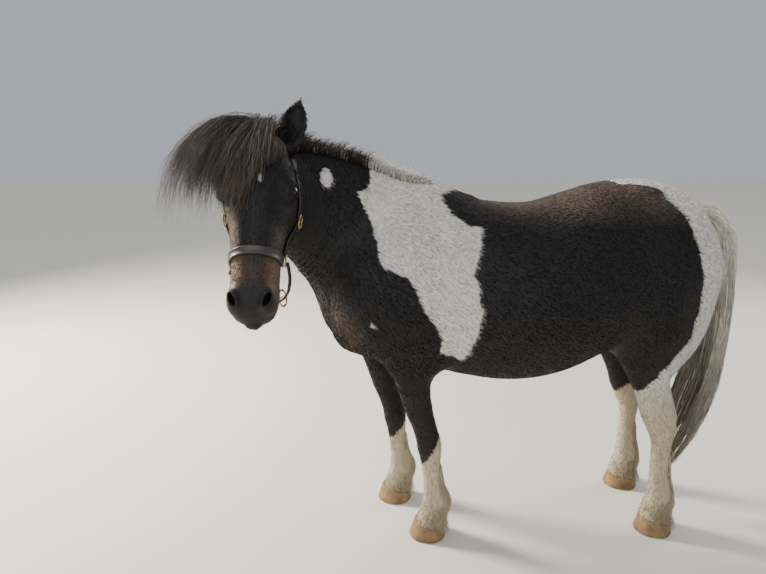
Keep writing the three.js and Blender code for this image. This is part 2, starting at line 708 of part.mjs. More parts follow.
// How far out the skin lies at a drop below a spot on the crest, on its right side.
function outAt({ at, right }, drop) {
  const from = at.clone().addScaledVector(right, 300).setZ(at.z - drop);
  return 300 - touch(body, from.toArray(), right.clone().negate().toArray(), 300);
}

// A seeded run of numbers from 0 to 1, so that the locks differ and come out the same every time.
function seeded(seed) {
  let state = seed;
  return () => {
    state = (state * 16807) % 2147483647;
    return state / 2147483647;
  };
}

// A flat, tapered, bent lock through the points: its width lies along the side direction, or along the one
// that a function gives for its run at that place.
function lockSolid(points, { width, thickness }, side, twist = 0) {
  const last = points.length - 1;
  const rings = points.slice(0, last).map((p, i) => {
    const along = points[i + 1].clone().sub(points[Math.max(i - 1, 0)]).normalize();
    const across = typeof side === "function" ? side(along) : side.clone();
    across.addScaledVector(along, -across.dot(along)).normalize();
    across.applyAxisAngle(along, twist * (i / last));
    const flat = along.clone().cross(across);
    const taper = i / last;
    const w = (width / 2) * (i === 0 ? 0.8 : 1 - 0.62 * taper ** 1.6);
    const d = (thickness / 2) * (1 - 0.55 * taper);
    return [[w, 0], [0, d], [-w, 0], [0, -d]].map(([u, v]) =>
      p.clone().addScaledVector(across, u).addScaledVector(flat, v).toArray(),
    );
  });
  return ringsSolid(rings, points[0].toArray(), points[last].toArray());
}

const joined = (solid, locks) => locks.reduce((all, lock) => all.add(lock), solid);
const apart = ([first, ...others]) => [first, others];

// A spot of the mane's fall: over the crest when the drop is below 0, then down the neck's right side.
function maneSpot(t, drop, lift) {
  const spot = crestAt(clamp(t, 0, 8));
  const out = drop < 12 ? lift : Math.max(outAt(spot, drop), 10) + lift;
  return spot.at.clone().addScaledVector(spot.right, out).setZ(spot.at.z - drop);
}

// The mane: long locks that fall on the right, and short ones that stand along the crest.
const MANE = { count: 15, first: 1.25, last: 7, width: 54, thickness: 13 };
const CREST_TUFTS = { count: 11, first: 1.2, last: 7, width: 42, thickness: 12, length: 42 };
function maneLocks() {
  const random = seeded(411);
  const locks = [];
  for (let i = 0; i < MANE.count; i++) {
    const t = lerp(MANE.first, MANE.last, i / (MANE.count - 1)) + 0.06 * (random() - 0.5);
    const length = MANE_LENGTH * lerp(0.45, 1, Math.min((t - 1) / 1.6, 1)) * (0.78 + 0.36 * random());
    const sweep = (t < 2 ? 0.5 * (2 - t) : 0) + 0.5 * (random() - 0.4);
    const lift = 9 + 7 * random();
    const points = [
      maneSpot(t, 17, -4).setZ(crestAt(t).at.z - 17),
      maneSpot(t, -17, 1),
      maneSpot(t - 0.2 * sweep, -10, 26),
      maneSpot(t - 0.6 * sweep, 0.5 * length, lift + 1),
      maneSpot(t - sweep, length, 7),
    ];
    points[0] = crestAt(t).at.clone().addScaledVector(crestAt(t).right, -4).add(new THREE.Vector3(0, 0, -17));
    locks.push(lockSolid(points, { ...MANE, width: MANE.width * (0.8 + 0.4 * random()) }, crestAt(t).along, 0.3 * (random() - 0.5)));
  }
  for (let i = 0; i < CREST_TUFTS.count; i++) {
    const t = lerp(CREST_TUFTS.first, CREST_TUFTS.last, i / (CREST_TUFTS.count - 1)) + 0.1 * (random() - 0.5);
    const { at, along, right } = crestAt(t);
    const size = CREST_TUFTS.length * (0.75 + 0.4 * random());
    const lean = -6 - 10 * random();
    const put = (back, over, up) => {
      return at.clone().addScaledVector(along, -back).addScaledVector(right, over).add(new THREE.Vector3(0, 0, up));
    };
    const points = [
      put(0, -8, -14),
      put(2, -9, 6),
      put(0.25 * size, -9 + 0.5 * lean, 0.45 * size),
      put(0.55 * size, -8 + lean, 0.72 * size),
    ];
    locks.push(lockSolid(points, CREST_TUFTS, along, 0.9 * (random() - 0.5)));
  }
  return locks;
}

// The forelock's middle line in the head's frame: down, left, out, half width, half thickness.
const FORELOCK = [
  [8, 10, -30, 44, 12],
  [-26, -4, -10, 56, 20],
  [-22, -50, 24, 66, 22],
  [30, -98, 42, 70, 20],
  [100, -128, 40, 66, 17],
  [165, -145, 26, 50, 12],
  [222, -158, 14, 26, 5],
];
const FORELOCK_LOCKS = { count: 10, width: 46, thickness: 14 };
const BROW_LOCKS = { count: 6, width: 34, thickness: 11 };
function forelockLocks() {
  const random = seeded(77);
  const locks = [];
  const lines = FORELOCK.map(([d, l, o]) => fromHead(d, l, o));
  for (let i = 0; i < FORELOCK_LOCKS.count; i++) {
    const u = (2 * ((i * 0.618) % 1) - 1) * 0.9;
    const v = (i / FORELOCK_LOCKS.count) * 1.6 - 0.75;
    const end = 5 + (i % 4) / 3;
    const at = [0, 0.28, 0.56, 0.82, 1].map((f) => f * end);
    const bend = 22 * (random() - 0.5);
    const points = at.map((t, k) => {
      const j = Math.min(Math.floor(t), 5);
      const [f, a, b] = [t - j, FORELOCK[j], FORELOCK[j + 1]];
      const along = lines[Math.min(j + 2, 6)].clone().sub(lines[j]).normalize();
      const side = headLeft.clone().addScaledVector(along, -headLeft.dot(along)).normalize();
      const up = along.clone().cross(side).normalize();
      const wide = lerp(a[3], b[3], f) * u * (k === 0 ? 0.5 : 1) + bend * Math.sin((3 * k) / 4);
      const p = lines[j].clone().lerp(lines[j + 1], f);
      return p.addScaledVector(side, wide).addScaledVector(up, lerp(a[4], b[4], f) * v * (k ? 1 : 0.5));
    });
    locks.push(lockSolid(points, FORELOCK_LOCKS, (along) => along.clone().cross(headOut), 0.6 * (random() - 0.5)));
  }
  // Shorter strands that come down over the forehead.
  for (let i = 0; i < BROW_LOCKS.count; i++) {
    const left = lerp(-44, 40, i / (BROW_LOCKS.count - 1)) + 5 * (random() - 0.5);
    const down = lerp(52, 96, random());
    const skin = (d, l, lift) => {
      const far = touch(body, fromHead(d, l, 160).toArray(), headOut.clone().negate().toArray(), 320);
      return fromHead(d, l, 160 - far + lift);
    };
    const points = [
      skin(14, left * 0.7, -18),
      skin(10, left * 0.8, 11),
      skin(0.45 * down, left - 4, 16),
      skin(0.78 * down, left - 9, 11),
      skin(down, left - 14, 5),
    ];
    locks.push(lockSolid(points, BROW_LOCKS, headLeft, 0.5 * (random() - 0.5)));
  }
  return locks;
}

// The tail: a core that ends half way down, with locks that leave it and reach the tail's outline.
const TAIL_LOCKS = { count: 20, width: 66, thickness: 17 };
function tailSpot(t, turn, share) {
  const [, x, y, z, long, wide] = rowAt(TAIL, t);
  const [, ax, ay, az] = rowAt(TAIL, Math.max(t - 0.1, 0));
  const [, bx, by, bz] = rowAt(TAIL, Math.min(t + 0.1, 9));
  const along = new THREE.Vector3(bx - ax, by - ay, bz - az).normalize();
  const up = along.clone().cross(new THREE.Vector3(0, 1, 0)).normalize();
  const p = new THREE.Vector3(x, y + share * wide * Math.cos(turn), z);
  return p.addScaledVector(up, share * long * Math.sin(turn));
}

function tailCore() {
  const rings = spaced(0, 6.2, 9).map((t) => {
    const share = t < 1 ? 0.8 : lerp(0.62, 0.34, (t - 1) / 5.2);
    return Array.from({ length: 8 }, (_, k) => tailSpot(t, (2 * Math.PI * k) / 8, share).toArray());
  });
  return ringsSolid(rings, [440, 0, 930], tailSpot(6.35, 0, 0).toArray());
}

function tailLocks() {
  const random = seeded(2024);
  return Array.from({ length: TAIL_LOCKS.count }, (_, i) => {
    const turn = i * 2.39996;
    const start = lerp(0.7, 5.3, i / (TAIL_LOCKS.count - 1));
    const end = Math.min(start + 3 + 1.2 * random(), 8.2 + 0.8 * random());
    const drift = 0.5 * (random() - 0.5);
    const points = [0, 0.3, 0.66, 1].map((f) => {
      const share = [0.22, 0.74, 0.9, 0.84][Math.round(f * 3)];
      return tailSpot(lerp(start, end, f), turn + drift * f, share);
    });
    const side = new THREE.Vector3(Math.sin(turn), -Math.cos(turn), 0);
    return lockSolid(points, TAIL_LOCKS, side, 0.5 * (random() - 0.5));
  });
}

// Feather: short locks from the back of the fetlock, down behind the hoof.
const FEATHER = { count: 4, width: 34, thickness: 10, spread: 1.3 };
function featherLocks({ table, x, y, lean }, seed) {
  const random = seeded(seed);
  return Array.from({ length: FEATHER.count }, (_, i) => {
    const turn = FEATHER.spread * (i / (FEATHER.count - 1) - 0.5) * 2;
    const top = 118 - 14 * Math.abs(turn) + 16 * random();
    const low = 54 + 10 * random() + 6 * Math.abs(turn);
    const put = (z, r) => {
      const [, shift, long, wide] = rowAt(table, z);
      const p = [x + shift + (long + r) * Math.cos(turn), y + lean * z + (wide + r) * Math.sin(turn), z];
      return new THREE.Vector3(...p);
    };
    const points = [put(top, -16), put(top - 14, 6), put(lerp(top, low, 0.6), 13), put(low, 12 + 8 * Math.cos(turn))];
    return lockSolid(points, FEATHER, new THREE.Vector3(-Math.sin(turn), Math.cos(turn), 0));
  });
}

function addNode(name, solid, material) {
  parts.set(name, { solid, material });
}

const headGrown = headSolid(GAP);
const neckGrown = neckSolid(GAP);
const torsoGrown = torsoSolid(GAP);
const earsGrown = earSolid(EARS.left, GAP, false).add(earSolid(EARS.right, GAP, false));
const strapOf = ({ path, count, hugs = true }, grow = 0) => {
  const size = { width: STRAP.width + 2 * grow, thickness: STRAP.thickness + grow };
  return strapSolid(onHead(path), { ...size, count, hugs, under: 1.2 + grow });
};
const haltersGrown = Object.values(HALTER).map((spec) => strapOf(spec, GAP));
const clearOfHalter = (solid) => haltersGrown.reduce((s, strap) => s.subtract(strap), solid);

addNode("torso", torsoSolid(), "coat");
const POLL_PART = { point: fromHead(0, 0, -50).toArray(), normal: headOut.toArray() };
const pollNormal = new THREE.Vector3(...POLL_PART.normal).normalize();
const clearOf = (solid, others) => others.reduce((s, other) => s.subtract(other), solid);
const maneFree = clearOfHalter(clearOf(joined(...apart(maneLocks())), [torsoGrown, headSolid(3 * GAP), earsGrown]));
const mane = keepBefore(maneFree, POLL_PART.point, pollNormal.toArray());
const neckWithMane = neckSolid().subtract(headGrown).subtract(earsGrown).add(mane);
addNode("neck", largest(neckWithMane), "coat");
const forelockAll = clearOf(joined(...apart(forelockLocks())), [neckSolid(3 * GAP), earsGrown]);
const forelockFree = keepBefore(clearOfHalter(forelockAll), POLL_PART.point, pollNormal.clone().negate().toArray());
const headBare = withMuzzle(withEyes(headSolid().subtract(earsGrown)));
addNode("head", largest(headBare.add(forelockFree)), "coat");
for (const [side, spec] of Object.entries(EARS)) {
  addNode(`ear_${side}`, earSolid(spec), "coat");
}
for (const [name, side] of [["eye_left", 1], ["eye_right", -1]]) {
  const { middle, along, outward } = eyeFrame(side);
  addNode(name, ellipsoidSolid(middle, [EYE.radius, EYE.radius, EYE.radius], along, outward, 12), "eye");
}
for (const [name, spec] of Object.entries(LEGS)) {
  const hoofRoom = hoofSolid(spec, 2 * GAP);
  const feathered = joined(legSolid(spec), featherLocks(spec, Math.abs(spec.x)).map((lock) => lock.subtract(hoofRoom)));
  addNode(`leg_${name}`, largest(feathered), "white_coat");
  addNode(`hoof_${name}`, hoofSolid(spec), "hoof");
}
addNode("tail", largest(joined(tailCore(), tailLocks()).subtract(torsoGrown)), "mane");
for (const [name, spec] of Object.entries(HALTER)) {
  addNode(name, largest(strapOf(spec).subtract(headGrown).subtract(neckGrown)), "leather");
}
for (const [name, spec] of Object.entries(FITTINGS)) addNode(`halter_${name}`, fittingSolid(spec), "metal");
addNode("halter_lead_ring", leadRingSolid(), "metal");

// Every part becomes one named mesh, moved so that the middle of the whole box's base is the origin.
const whole = new THREE.Box3();
for (const { solid } of parts.values()) {
  const { min, max } = solid.boundingBox();
  whole.expandByPoint(new THREE.Vector3(...min)).expandByPoint(new THREE.Vector3(...max));
}
const shift = whole.getCenter(new THREE.Vector3()).setZ(whole.min.z);
const pony = new THREE.Group();
for (const [name, { solid, material }] of parts) {
  const moved = solid.translate(shift.clone().negate().toArray()).scale(UNIT);
  const geometry = geometryOf(largest(solidOf(geometryOf(moved))));
  geometry.computeVertexNormals();
  const mesh = new THREE.Mesh(geometry, new THREE.MeshStandardMaterial(MATERIALS[material]));
  mesh.name = name;
  pony.add(mesh);
}

export default pony;
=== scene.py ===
"""A shetland pony that stands with its head turned to its left, in a leather halter.

The CAD frame is in metres. Sizes here are in millimetres of the pony's own frame: it faces -X, its left
side is -Y, the floor is z = 0, and `place` carries points from it to the CAD frame. The skin is one
surface worked out from tables of sections, and hair is laid over it as tapered solid strands.
"""

import math

import bpy
import numpy as np
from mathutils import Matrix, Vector


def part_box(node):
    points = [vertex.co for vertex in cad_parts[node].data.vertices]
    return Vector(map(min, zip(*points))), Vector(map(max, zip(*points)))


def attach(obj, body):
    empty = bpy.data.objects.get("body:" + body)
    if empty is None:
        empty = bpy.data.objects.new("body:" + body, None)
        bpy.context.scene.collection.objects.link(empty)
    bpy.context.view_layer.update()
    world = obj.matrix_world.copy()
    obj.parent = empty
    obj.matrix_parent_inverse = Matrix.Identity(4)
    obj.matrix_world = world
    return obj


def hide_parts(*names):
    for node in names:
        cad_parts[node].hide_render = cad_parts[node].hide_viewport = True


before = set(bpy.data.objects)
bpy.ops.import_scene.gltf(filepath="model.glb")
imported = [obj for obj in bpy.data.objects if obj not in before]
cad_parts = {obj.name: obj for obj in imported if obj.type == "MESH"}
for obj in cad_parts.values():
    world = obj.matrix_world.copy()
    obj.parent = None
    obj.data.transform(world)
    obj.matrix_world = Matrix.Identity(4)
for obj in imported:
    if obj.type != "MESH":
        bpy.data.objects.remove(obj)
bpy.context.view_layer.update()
MM = 0.001
# Driving sizes, the same as those of the solids.
HEAD_POLL = np.array([-704.0, -185.0, 1127.0])
HEAD_YAW = math.radians(3.5)
HEAD_PITCH = math.radians(29)
EYE_DOWN, EYE_LEFT, EYE_OUT, EYE_RADIUS = 126, 75, -22, 16.5
EAR_LENGTH = 130
STRAP_WIDTH, STRAP_THICKNESS = 18, 4.2

# The trunk, chest to tail: x, top, bottom, half width, height of the widest point.
TRUNK = np.array([
    [-552, 765, 628, 66, 695],
    [-522, 830, 582, 116, 700],
    [-460, 900, 540, 150, 700],
    [-400, 950, 520, 164, 700],
    [-330, 985, 508, 172, 698],
    [-268, 998, 497, 180, 690],
    [-180, 976, 478, 203, 690],
    [-90, 962, 465, 224, 695],
    [0, 962, 468, 234, 700],
    [85, 985, 488, 232, 715],
    [170, 1010, 526, 220, 740],
    [250, 1022, 570, 206, 765],
    [330, 1018, 618, 186, 790],
    [400, 996, 660, 152, 815],
    [450, 966, 705, 112, 840],
    [488, 918, 775, 60, 850],
], float)
# The neck: distance along it, x, y, z, half depth, half width.
NECK = np.array([
    [0, -330, 0, 770, 232, 118],
    [1, -440, -4, 850, 204, 104],
    [2, -540, -20, 925, 172, 88],
    [3, -620, -52, 975, 142, 74],
    [4, -690, -96, 1022, 116, 66],
    [5, -715, -150, 1050, 92, 60],
], float)
# The head, poll to lips: down the face, front, back, half width, depth of the widest point.
HEAD = np.array([
    [-16, -24, -64, 30, -42],
    [8, 0, -100, 52, -46],
    [50, 14, -135, 74, -50],
    [95, 20, -163, 84, -52],
    [124, 20, -176, 85, -58],
    [160, 17, -180, 80, -66],
    [205, 9, -166, 70, -72],
    [250, 4, -140, 62, -66],
    [290, 1, -118, 57, -58],
    [330, 0, -106, 55, -54],
    [366, -2, -101, 57, -52],
    [394, -11, -97, 52, -54],
    [412, -25, -90, 40, -57],
    [422, -42, -77, 18, -60],
], float)
# A fore leg, coronet to elbow: height, shift to the rear, half length, half width.
FORE = np.array([
    [20, -4, 46, 41],
    [58, 0, 38, 35],
    [84, 8, 38, 33],
    [105, 14, 40, 33],
    [126, 14, 38, 32],
    [155, 7, 30, 27],
    [200, 0, 27, 24],
    [245, -4, 30, 28],
    [280, -8, 35, 35],
    [310, -12, 36, 36],
    [345, -22, 36, 32],
    [400, -40, 40, 35],
    [460, -54, 46, 42],
    [520, -62, 60, 48],
    [600, -62, 84, 52],
], float)
# A hind leg, coronet to stifle.
HIND = np.array([
    [20, -4, 47, 42],
    [58, -8, 40, 36],
    [84, -2, 40, 34],
    [110, 2, 38, 34],
    [138, 0, 34, 31],
    [180, -6, 28, 25],
    [235, -8, 27, 24],
    [285, -10, 31, 27],
    [330, -18, 43, 33],
    [372, -30, 52, 35],
    [408, -42, 52, 33],
    [450, -58, 54, 36],
    [500, -76, 64, 46],
    [560, -88, 84, 60],
    [640, -84, 112, 68],
], float)
# Each leg: its table, its hoof's middle, and how far it leans sideways per millimetre of height.
LEGS = {
    "fore_left": (FORE, -276, -84, -0.04),
    "fore_right": (FORE, -354, 108, -0.02),
    "hind_left": (HIND, 394, -110, 0.0),
    "hind_right": (HIND, 412, 132, -0.04),
}
# Muscles of the trunk on each side: x, y, z, half sizes along x, y and z, lean about y in degrees.
MUSCLES = [
    [-425, 88, 700, 104, 78, 150, 24],
    [-330, 92, 800, 70, 70, 150, 18],
    [-325, 104, 600, 92, 62, 96, 0],
    [-495, 60, 650, 60, 62, 80, 0],
    [330, 108, 790, 150, 96, 160, -12],
    [300, 116, 660, 112, 80, 122, -8],
    [404, 88, 730, 86, 74, 170, 6],
    [352, 108, 600, 92, 64, 110, -14],
]
# The tail: distance down it, x, y, z, half size along x, half size along y.
TAIL = np.array([
    [0, 440, 0, 930, 26, 26],
    [1, 505, 0, 918, 34, 34],
    [2, 545, 0, 850, 44, 42],
    [3, 556, 0, 740, 48, 44],
    [4, 556, 0, 620, 52, 44],
    [5, 548, -2, 500, 58, 42],
    [6, 530, -5, 390, 64, 40],
    [7, 500, -8, 290, 62, 36],
    [8, 462, -12, 195, 46, 28],
    [9, 428, -16, 122, 16, 10],
], float)
# An ear from root to tip: share of its length, half width, half depth.
EAR = np.array([
    [0, 16, 16],
    [0.16, 24, 20],
    [0.36, 31, 18],
    [0.56, 31, 15],
    [0.74, 24, 11],
    [0.88, 14, 7],
    [0.97, 5, 3],
    [1.0, 2, 1.5],
], float)
# Each ear in the head's frame: its root, the way it points, and the way its cup opens.
EARS = {
    "left": ([6, 54, -46], [-0.96, 0.22, -0.02], [0, 0.2, 0.97]),
    "right": ([4, -46, -46], [-0.5, -0.84, -0.16], [0.45, 0.1, 0.88]),
}


def hermite(a, b, out, into, s):
    """The smooth way from a to b that leaves and arrives at the given rates, at the share s of it."""
    s2, s3 = s * s, s * s * s
    return (2 * s3 - 3 * s2 + 1) * a + (s3 - 2 * s2 + s) * out + (3 * s2 - 2 * s3) * b + (s3 - s2) * into


def row_at(rows, at):
    """A smooth curve through a table's rows, read at its first column."""
    at = np.atleast_1d(np.asarray(at, float))
    keys = rows[:, 0]
    t = np.clip(at, keys[0], keys[-1])
    i = np.clip(np.searchsorted(keys, t) - 1, 0, len(keys) - 2)
    a, b = rows[i], rows[i + 1]
    before, after = rows[np.maximum(i - 1, 0)], rows[np.minimum(i + 2, len(keys) - 1)]
    span = b[:, :1] - a[:, :1]
    out = (b - before) / (b[:, :1] - before[:, :1]) * span
    into = (after - a) / (after[:, :1] - a[:, :1]) * span
    return hermite(a, b, out, into, (t[:, None] - a[:, :1]) / span)


def blend(a, b, soft):
    """Joins two distances with a fillet about `soft` wide."""
    h = np.maximum(soft - np.abs(a - b), 0) / soft
    return np.minimum(a, b) - h * h * soft / 4


def carve(a, hollow, soft):
    return -blend(-a, hollow, soft)


def beyond(v, low, high):
    """How far a value lies outside a range."""
    return np.maximum(np.maximum(low - v, v - high), 0)


def section(parts, sizes, power, r=None):
    """About the distance to a rounded form of the given half sizes."""
    f = sum(np.abs(part / size) ** power for part, size in zip(parts, sizes)) ** (1 / power)
    r = np.sqrt(sum(part**2 for part in parts)) if r is None else r
    return r * (1 - 1 / np.maximum(f, 1e-3))


def ellipsoid(p, sizes):
    q = p / np.asarray(sizes, float)
    k0 = np.linalg.norm(q, axis=1)
    k1 = np.linalg.norm(q / np.asarray(sizes, float), axis=1)
    return k0 * (k0 - 1) / np.maximum(k1, 1e-6)


def lofted(rows, along, side, up, power, cap):
    _, top, bottom, half, middle = row_at(rows, along).T
    rise = up - middle
    reach = np.where(rise > 0, top - middle, middle - bottom)
    return section((side, rise, beyond(along, rows[0, 0], rows[-1, 0])), (half, reach, cap), power)


def unit(v):
    v = np.asarray(v, float)
    return v / np.maximum(np.linalg.norm(v, axis=-1, keepdims=True), 1e-9)


FAR = 400.0


def where_near(p, low, high, field):
    """A field worked out only inside a box, and far outside it."""
    d = np.full(len(p), FAR)
    near = np.all((p > low) & (p < high), axis=1)
    if near.any():
        d[near] = field(p[near])
    return d


def trunk(p):
    return lofted(TRUNK, p[:, 0], p[:, 1], p[:, 2], 2.15, 26)


def muscles(p):
    d = np.full(len(p), FAR)
    for mx, my, mz, rx, ry, rz, lean in MUSCLES:
        c, s = math.cos(math.radians(lean)), math.sin(math.radians(lean))
        dx, dz = p[:, 0] - mx, p[:, 2] - mz
        q = np.stack([dx * c + dz * s, np.abs(p[:, 1]) - my, dz * c - dx * s], axis=1)
        d = blend(d, ellipsoid(q, [rx, ry, rz]), 40)
    return d


def leg(p, table, x, y, lean):
    z, shift, long, wide = row_at(table, p[:, 2]).T
    over = beyond(p[:, 2], table[0, 0], table[-1, 0])
    dx, dy = p[:, 0] - (x + shift), p[:, 1] - (y + lean * z)
    return 0.94 * section((dx, dy, over), (long, wide, 40), 2.1)


NECK_STEPS = 28
neck_rows = row_at(NECK, np.linspace(0, len(NECK) - 1, NECK_STEPS + 1))
neck_at = neck_rows[:, 1:4]
steps = np.arange(NECK_STEPS + 1)
neck_along = unit(neck_at[np.minimum(steps + 1, NECK_STEPS)] - neck_at[np.maximum(steps - 1, 0)])
neck_side = unit(np.cross([0, 0, 1], neck_along))
neck_up = np.cross(neck_along, neck_side)


def neck(p):
    best, best_t, found = np.full(len(p), np.inf), np.zeros(len(p)), np.zeros(len(p), int)
    for i in range(NECK_STEPS):
        a, ab = neck_at[i], neck_at[i + 1] - neck_at[i]
        t = np.clip((p - a) @ ab / (ab @ ab), 0, 1)
        d = np.linalg.norm(p - a - t[:, None] * ab, axis=1)
        closer = d < best
        best[closer], best_t[closer], found[closer] = d[closer], t[closer], i
    f = best_t[:, None]
    between = lambda values: values[found] * (1 - f) + values[found + 1] * f
    off = p - between(neck_at)
    deep, wide = between(neck_rows[:, 4:6]).T
    u = (off * between(neck_side)).sum(axis=1)
    v = (off * between(neck_up)).sum(axis=1)
    w = (off * between(neck_along)).sum(axis=1)
    # The crest is narrower than the throat side.
    taper = wide * np.where(v > 0, 1 - 0.34 * np.clip(v / deep, 0, 1), 1)
    return section((u, v, w), (taper, deep, 60), 2.1, np.linalg.norm(off, axis=1))


# The head's frame: down the face, towards its left, and out of the face.
nose = np.array([-math.sin(HEAD_YAW), -math.cos(HEAD_YAW), 0])
HEAD_AXES = np.array([
    nose * math.sin(HEAD_PITCH) - np.array([0, 0, math.cos(HEAD_PITCH)]),
    [math.cos(HEAD_YAW), -math.sin(HEAD_YAW), 0],
    nose * math.cos(HEAD_PITCH) + np.array([0, 0, math.sin(HEAD_PITCH)]),
])


def from_head(q):
    return HEAD_POLL + np.asarray(q, float) @ HEAD_AXES


def to_head(p):
    return (p - HEAD_POLL) @ HEAD_AXES.T


# Forms of the head's left half, mirrored on its right: place, half sizes and how softly they join.
# First brow, cheek, nostril bulge and chin, then the hollows above the eye and between cheek and nose.
HEAD_BULGES = [
    ([116, 66, -20], [38, 26, 24], 18), ([158, 42, -118], [60, 35, 56], 26),
    ([378, 34, -28], [30, 21, 26], 16), ([388, 0, -94], [26, 30, 18], 16),
]
HEAD_HOLLOWS = [([84, 84, -26], [22, 12, 16], 14), ([268, 78, -84], [50, 16, 26], 26)]


def head_form(q):
    """The head without its openings, in its own frame."""
    d = lofted(HEAD, q[:, 0], q[:, 1], q[:, 2], 2.25, 14)
    half = np.stack([q[:, 0], np.abs(q[:, 1]), q[:, 2]], axis=1)
    for joined, forms in ((blend, HEAD_BULGES), (carve, HEAD_HOLLOWS)):
        for at, sizes, soft in forms:
            d = joined(d, ellipsoid(half - at, sizes), soft)
    return d


def body(p):
    d = blend(trunk(p), muscles(p), 46)
    d = blend(d, ellipsoid(p - np.array([424, 0, 700]), [56, 70, 140]), 46)
    d = blend(d, where_near(p, [-900, -380, 450], [0, 300, 1300], neck), 70)
    head_low, head_high = [-900, -700, 620], [-500, 80, 1300]
    d = blend(d, where_near(p, head_low, head_high, lambda q: head_form(to_head(q))), 30)
    for table, x, y, lean in LEGS.values():
        low, high = [x - 320, y - 180, -60], [x + 260, y + 180, 760]
        d = blend(d, where_near(p, low, high, lambda q: leg(q, table, x, y, lean)), 34)
    # The groove between the breast muscles.
    return carve(d, ellipsoid(p - np.array([-566, 0, 640]), [40, 12, 90]), 30)


def slope(field, p, e=1.5):
    """The field's gradient at each point."""
    g = np.empty_like(p)
    for k in range(3):
        step = np.zeros(3)
        step[k] = e
        g[:, k] = (field(p + step) - field(p - step)) / (2 * e)
    return g


def touch(field, p, way, most):
    """How far each point travels along its way before it meets the field's zero surface."""
    p, way = np.asarray(p, float), np.asarray(way, float)
    step = 8.0
    inside = np.full(len(p), float(most))
    open_ = np.ones(len(p), bool)
    for far in np.arange(0, most, step):
        ids = np.flatnonzero(open_)
        if not len(ids):
            break
        there = ids[field(p[ids] + way[ids] * far) < 0]
        inside[there] = far
        open_[there] = False
    outside = np.maximum(inside - step, 0)
    for _ in range(8):
        middle = (inside + outside) / 2
        hit = field(p + way * middle[:, None]) < 0
        inside, outside = np.where(hit, middle, inside), np.where(hit, outside, middle)
    return inside


# Where the pony's own frame lies in the CAD frame: read from the near fore hoof, whose size is known.
HOOF_LENGTH, HOOF_WIDTH, HOOF_BACK = 57, 49, 4
hoof_low, hoof_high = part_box("hoof_fore_left")
_, HOOF_X, HOOF_Y, _ = LEGS["fore_left"]
SHIFT = np.array([
    hoof_low[0] / MM - (HOOF_X - HOOF_BACK - HOOF_LENGTH),
    hoof_low[1] / MM - (HOOF_Y - HOOF_WIDTH),
    0.0,
])


def place(p):
    """Carries points from the pony's own frame to the CAD frame, in metres."""
    return (np.asarray(p, float) + SHIFT) * MM


# The skin: the body's form with its openings, a little inside the solids so that the coat has room.
COAT_DEPTH = 2.5
HOOF_FLOOR = 26
LID = [24.5, 21.0, 20.5]
LID_OPENING = [15.5, 8.8, 12]
NOSTRIL = [378, 35, -10]
NOSTRIL_SIZE = [16, 7.0, 16]
MOUTH_PLANE = (400, -72, 0.26)


def eye_axes(side):
    outward = unit([0, side, 0.62])
    along = np.array([0.86, 0, 0.5])
    along = unit(along - (along @ outward) * outward)
    return np.array([along, np.cross(outward, along), outward])


def ear_form(q, root, way, opens):
    along = unit(way)
    across = unit(np.cross(opens, along))
    facing = np.cross(along, across)
    facing = facing if facing @ opens > 0 else -facing
    off = q - root
    t = off @ along / EAR_LENGTH
    _, wide, deep = row_at(EAR, t).T
    u, v = off @ across, off @ facing - 10 * np.clip(t, 0, 1) ** 2
    outer = section((u, v, beyond(t, 0, 1) * EAR_LENGTH), (wide, deep, 12), 2)
    hollow = (u, v - 0.95 * deep, beyond(t, 0.1, 0.8) * EAR_LENGTH)
    inner = section(hollow, (0.8 * wide, 1.15 * deep, 8), 2)
    return carve(outer, inner, 3)


def head_openings(d, q):
    """Lids, eye sockets, nostrils and the line of the mouth, in the head's frame."""
    for side in (1, -1):
        axes = eye_axes(side)
        middle = np.array([EYE_DOWN, side * EYE_LEFT, EYE_OUT])
        off = (q - middle) @ axes.T
        d = blend(d, ellipsoid(off, LID) + 0.8, 7)
        opening = ellipsoid(off - np.array([0, 0, EYE_RADIUS * 1.1]), LID_OPENING)
        d = carve(d, opening, 3)
        d = carve(d, np.linalg.norm(off, axis=1) - EYE_RADIUS - 0.2, 1)
        along = unit([1, -0.45 * side, 0])
        up = np.array([0, 0.5 * side, 1])
        up = unit(up - (up @ along) * along)
        off = (q - np.array(NOSTRIL) * [1, side, 1]) @ np.array([along, np.cross(up, along), up]).T
        rim = ellipsoid(off + [0, 0, 2], [22, 12, 13])
        d = carve(blend(d, rim, 8), ellipsoid(off, NOSTRIL_SIZE), 4)
    d = blend(d, ellipsoid(q - np.array([402, 0, -58]), [23, 37, 24]), 12)
    at, level, rise = MOUTH_PLANE
    plane = np.abs(q[:, 2] - level - rise * (q[:, 0] - at)) / math.hypot(1, rise)
    groove = np.maximum(np.maximum(plane - 2.0 - 0.3 * d, -d - 7), 346 - q[:, 0])
    return carve(d, groove, 3)


def head_skin(p, d):
    q = to_head(p)
    d = head_openings(d, q)
    for root, way, opens in EARS.values():
        d = blend(d, ear_form(q, np.array(root), np.array(way), np.array(opens)) + 0.6, 10)
    return d


def skin(p):
    d = np.maximum(body(p) + COAT_DEPTH, HOOF_FLOOR - p[:, 2])
    near = np.all((p > [-920, -640, 680]) & (p < [-540, 0, 1300]), axis=1)
    if near.any():
        d[near] = head_skin(p[near], d[near])
    return d


# The grid is worked in blocks of this many cells a side, and so many points at a time.
BLOCK = 4
ROUGH_BATCH = 60000
FINE_BATCH = 200000


def graded(low, high, fine_low, fine_high, coarse, fine):
    """Grid lines from low to high, closer together over one stretch."""
    at = [low]
    while at[-1] < high or (len(at) - 1) % BLOCK:
        mid = at[-1]
        at.append(mid + (fine if fine_low < mid < fine_high else coarse))
    return np.array(at)


